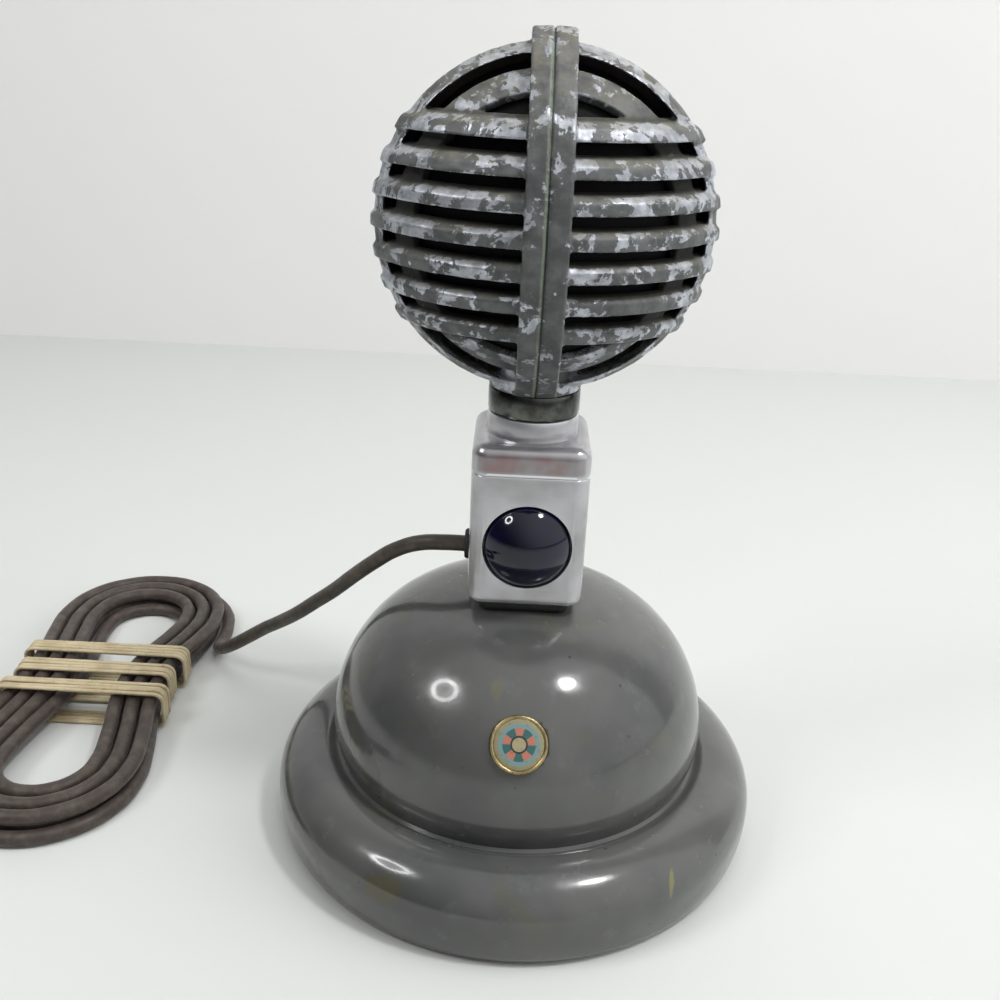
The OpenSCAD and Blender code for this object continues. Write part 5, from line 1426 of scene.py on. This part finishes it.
rays = between(tree, reckon(tree, "SINE", round_it), -0.05, 0.05)
tone = blend(tree, rays, ink("2c5f5c"), ink("b5735f"))
for radius, code in ((3.45, "6f9094"), (4.3, "918a68")):
    outside = between(tree, from_middle, radius * MM, (radius + field_edge) * MM)
    tone = cover(tree, tone, code, outside)
for radius, code in ((1.8, "20282a"), (1.4, "a39a76")):
    inside = between(tree, from_middle, radius * MM, (radius + field_edge) * MM, 1, 0)
    tone = cover(tree, tone, code, inside)
dirt = between(tree, grain(tree, place, 0.9, 6, 0.7), 0.52, 0.7, 0, 0.5)
tone = cover(tree, tone, "4f4a3c", dirt)
paint_on(tree, shader, Base_Color=tone)
relief(tree, shader, grain(tree, place, 0.6, 3), 0.01)

# %% Every solid of the CAD model gets the finish of its slot
finishes = {
    **metals, **moulds, "base_enamel": enamel, "head_paint": worn_zinc, "switch_chrome": plating,
    "badge_paint": badge_enamel, "cord_rubber": cord_rubber, "band_rubber": band_rubber,
    "gauze": gauze, "crystal": crystal,
}
slots = {row["node"]: row["material_slot"] for row in frame["record"]["subparts"]}
for node_name, slot_name in slots.items():
    wear(frame["nodes"][node_name], finishes[slot_name])
print(len(slots), "solids dressed in", len(finishes), "finishes")

# %% [markdown]
# ## Floor and light
# The object stands on pale paper in front of a pale wall. Two large soft lights, above and at
# the right, give the even tone. They stay out of reflections, where they would show as discs.
# A ring lamp from the left draws the ring-shaped reflections on the enamel, and a round lamp
# from the upper right draws the small bright ones. The world is a pale room that is darker on
# the left, so that the glossy pieces have something calm to reflect. It is brighter in
# reflections than as a light, so that metal shows a pale room and the object keeps its tone.

# %% Floor and wall
def sheet_of_paper(name, corners, code, lift):
    """A stage sheet. lift is a little light of its own that only the view and reflections see."""
    bm = bmesh.new()
    bm.faces.new([bm.verts.new(Vector(c) * MM) for c in corners])
    mesh = bpy.data.meshes.new(name)
    bm.to_mesh(mesh)
    bm.free()
    obj = bpy.data.objects.new(name, mesh)
    scene.collection.objects.link(obj)
    paper, tree, shader, _ = finish(name + "_paper", Roughness=0.9, Specular_IOR_Level=0.1)
    looked_at = add(tree, "ShaderNodeLightPath").outputs
    seen = reckon(tree, "MAXIMUM", looked_at["Is Camera Ray"], looked_at["Is Glossy Ray"])
    shader.inputs["Emission Color"].default_value = ink("ffffff")
    shader.inputs["Base Color"].default_value = ink(code)
    paint_on(tree, shader, Emission_Strength=reckon(tree, "MULTIPLY", seen, lift))
    wear(obj, paper)


wall_y, sheet_half, floor_front, wall_top = 420, 3000, -2500, 2500
sheet_of_paper("floor", [
    (-sheet_half, floor_front, 0), (sheet_half, floor_front, 0),
    (sheet_half, wall_y, 0), (-sheet_half, wall_y, 0),
], "d3d5d2", 0.02)
sheet_of_paper("wall", [
    (-sheet_half, wall_y, 0), (sheet_half, wall_y, 0),
    (sheet_half, wall_y, wall_top), (-sheet_half, wall_y, wall_top),
], "e0e0df", 0.12)


# %% Lamps
def lamp(name, place, target, power, size):
    """A round white lamp of a size in millimetres and a power in watts, aimed at a target."""
    data = bpy.data.lights.new(name, "AREA")
    data.shape = "DISK"
    data.size = size * MM
    data.energy = power
    obj = bpy.data.objects.new(name, data)
    aim = (Vector(target) - Vector(place)).to_track_quat("-Z", "Y")
    obj.matrix_world = Matrix.Translation(Vector(place) * MM) @ aim.to_matrix().to_4x4()
    scene.collection.objects.link(obj)
    return obj


def from_side(azimuth, elevation, reach, height=60):
    """A place at a distance from the object, by its compass angle from the front."""
    a, e = radians(azimuth), radians(elevation)
    return (reach * sin(a) * cos(e), -reach * cos(a) * cos(e), height + reach * sin(e))


case_middle, base_middle = (0, 0, 80), (0, 0, 60)
lamp("overhead", (120, 50, 1100), case_middle, 4.2, 900).visible_glossy = False
lamp("right window", from_side(80, 30, 1000), case_middle, 4.6, 800).visible_glossy = False
lamp("right lamp", from_side(62, 62, 800), base_middle, 2.2, 115)
bulb_count, bulb_circle, bulb_power, bulb_size = 16, 85, 0.08, 38
ring_place = Vector(from_side(-66, 45, 700))
ring_aim = (Vector(base_middle) - ring_place).to_track_quat("-Z", "Y")
for k in range(bulb_count):
    a = 2 * pi * k / bulb_count
    bulb = ring_place + ring_aim @ Vector((bulb_circle * cos(a), bulb_circle * sin(a), 0))
    lamp(f"ring lamp {k}", bulb, base_middle, bulb_power, bulb_size)

# %% World
world = bpy.data.worlds.new("pale room")
world.use_nodes = True
sky = world.node_tree
looking = add(sky, "ShaderNodeTexCoord").outputs["Generated"]
toward = add(sky, "ShaderNodeSeparateXYZ", {0: looking}).outputs
lean_right = reckon(sky, "MULTIPLY", toward["X"], 0.75)
bright_side = reckon(sky, "MULTIPLY_ADD", toward["Z"], 0.65, lean_right)
glow = between(sky, bright_side, -0.6, 1.0)
room = blend(sky, glow, ink("3c3d40"), ink("ffffff"))
in_mirrors = add(sky, "ShaderNodeLightPath").outputs["Is Glossy Ray"]
plain_light, more_in_mirrors = 0.34, 0.6
strength = reckon(sky, "MULTIPLY_ADD", in_mirrors, more_in_mirrors, plain_light)
paint_on(sky, sky.nodes["Background"], Color=room, Strength=strength)
scene.world = world
scene.view_settings.view_transform = "Standard"

# %% [markdown]
# ## What rides on what
# Each new piece moves with a body of the CAD model and stands for the solid that it replaces.

# %% Bodies and replaced solids
def dress(piece, body, slot, *nodes):
    """Gives a piece its body, its finish and the CAD nodes that it stands for."""
    wear(piece, finishes[slot])
    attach(piece, body)
    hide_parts(*nodes)


dress(bell, "stand", "base_enamel", "base_shell")
dress(badge_rim, "stand", "brass", "badge_rim")
dress(badge_face, "stand", "badge_paint", "badge_face")
dress(gasket, "stand", "black_rubber", "neck_gasket")
dress(switch_body, "stand", "switch_chrome", "switch_body")
dress(switch_cap, "stand", "switch_chrome", "switch_cap")
dress(button, "push_button", "button_plastic", "button_cap")
dress(spring_coil, "stand", "steel", "return_spring")
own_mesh(spring_coil)
dress(grommet, "stand", "black_rubber", "cord_grommet")
dress(coupling, "ring", "dark_nickel", "coupling_ring")
dress(left_casting, "head", "head_paint", "left_shell")
dress(right_casting, "head", "head_paint", "right_shell")
dress(head_screws, "head", "steel", "shell_screws")
dress(rubber_bands, "stand", "band_rubber", "tie_bands")
dress(plug_grip, "stand", "plug_bakelite", "plug_shell")
dress(cord, "stand", "cord_rubber", "cord_lead", "cord_hank")
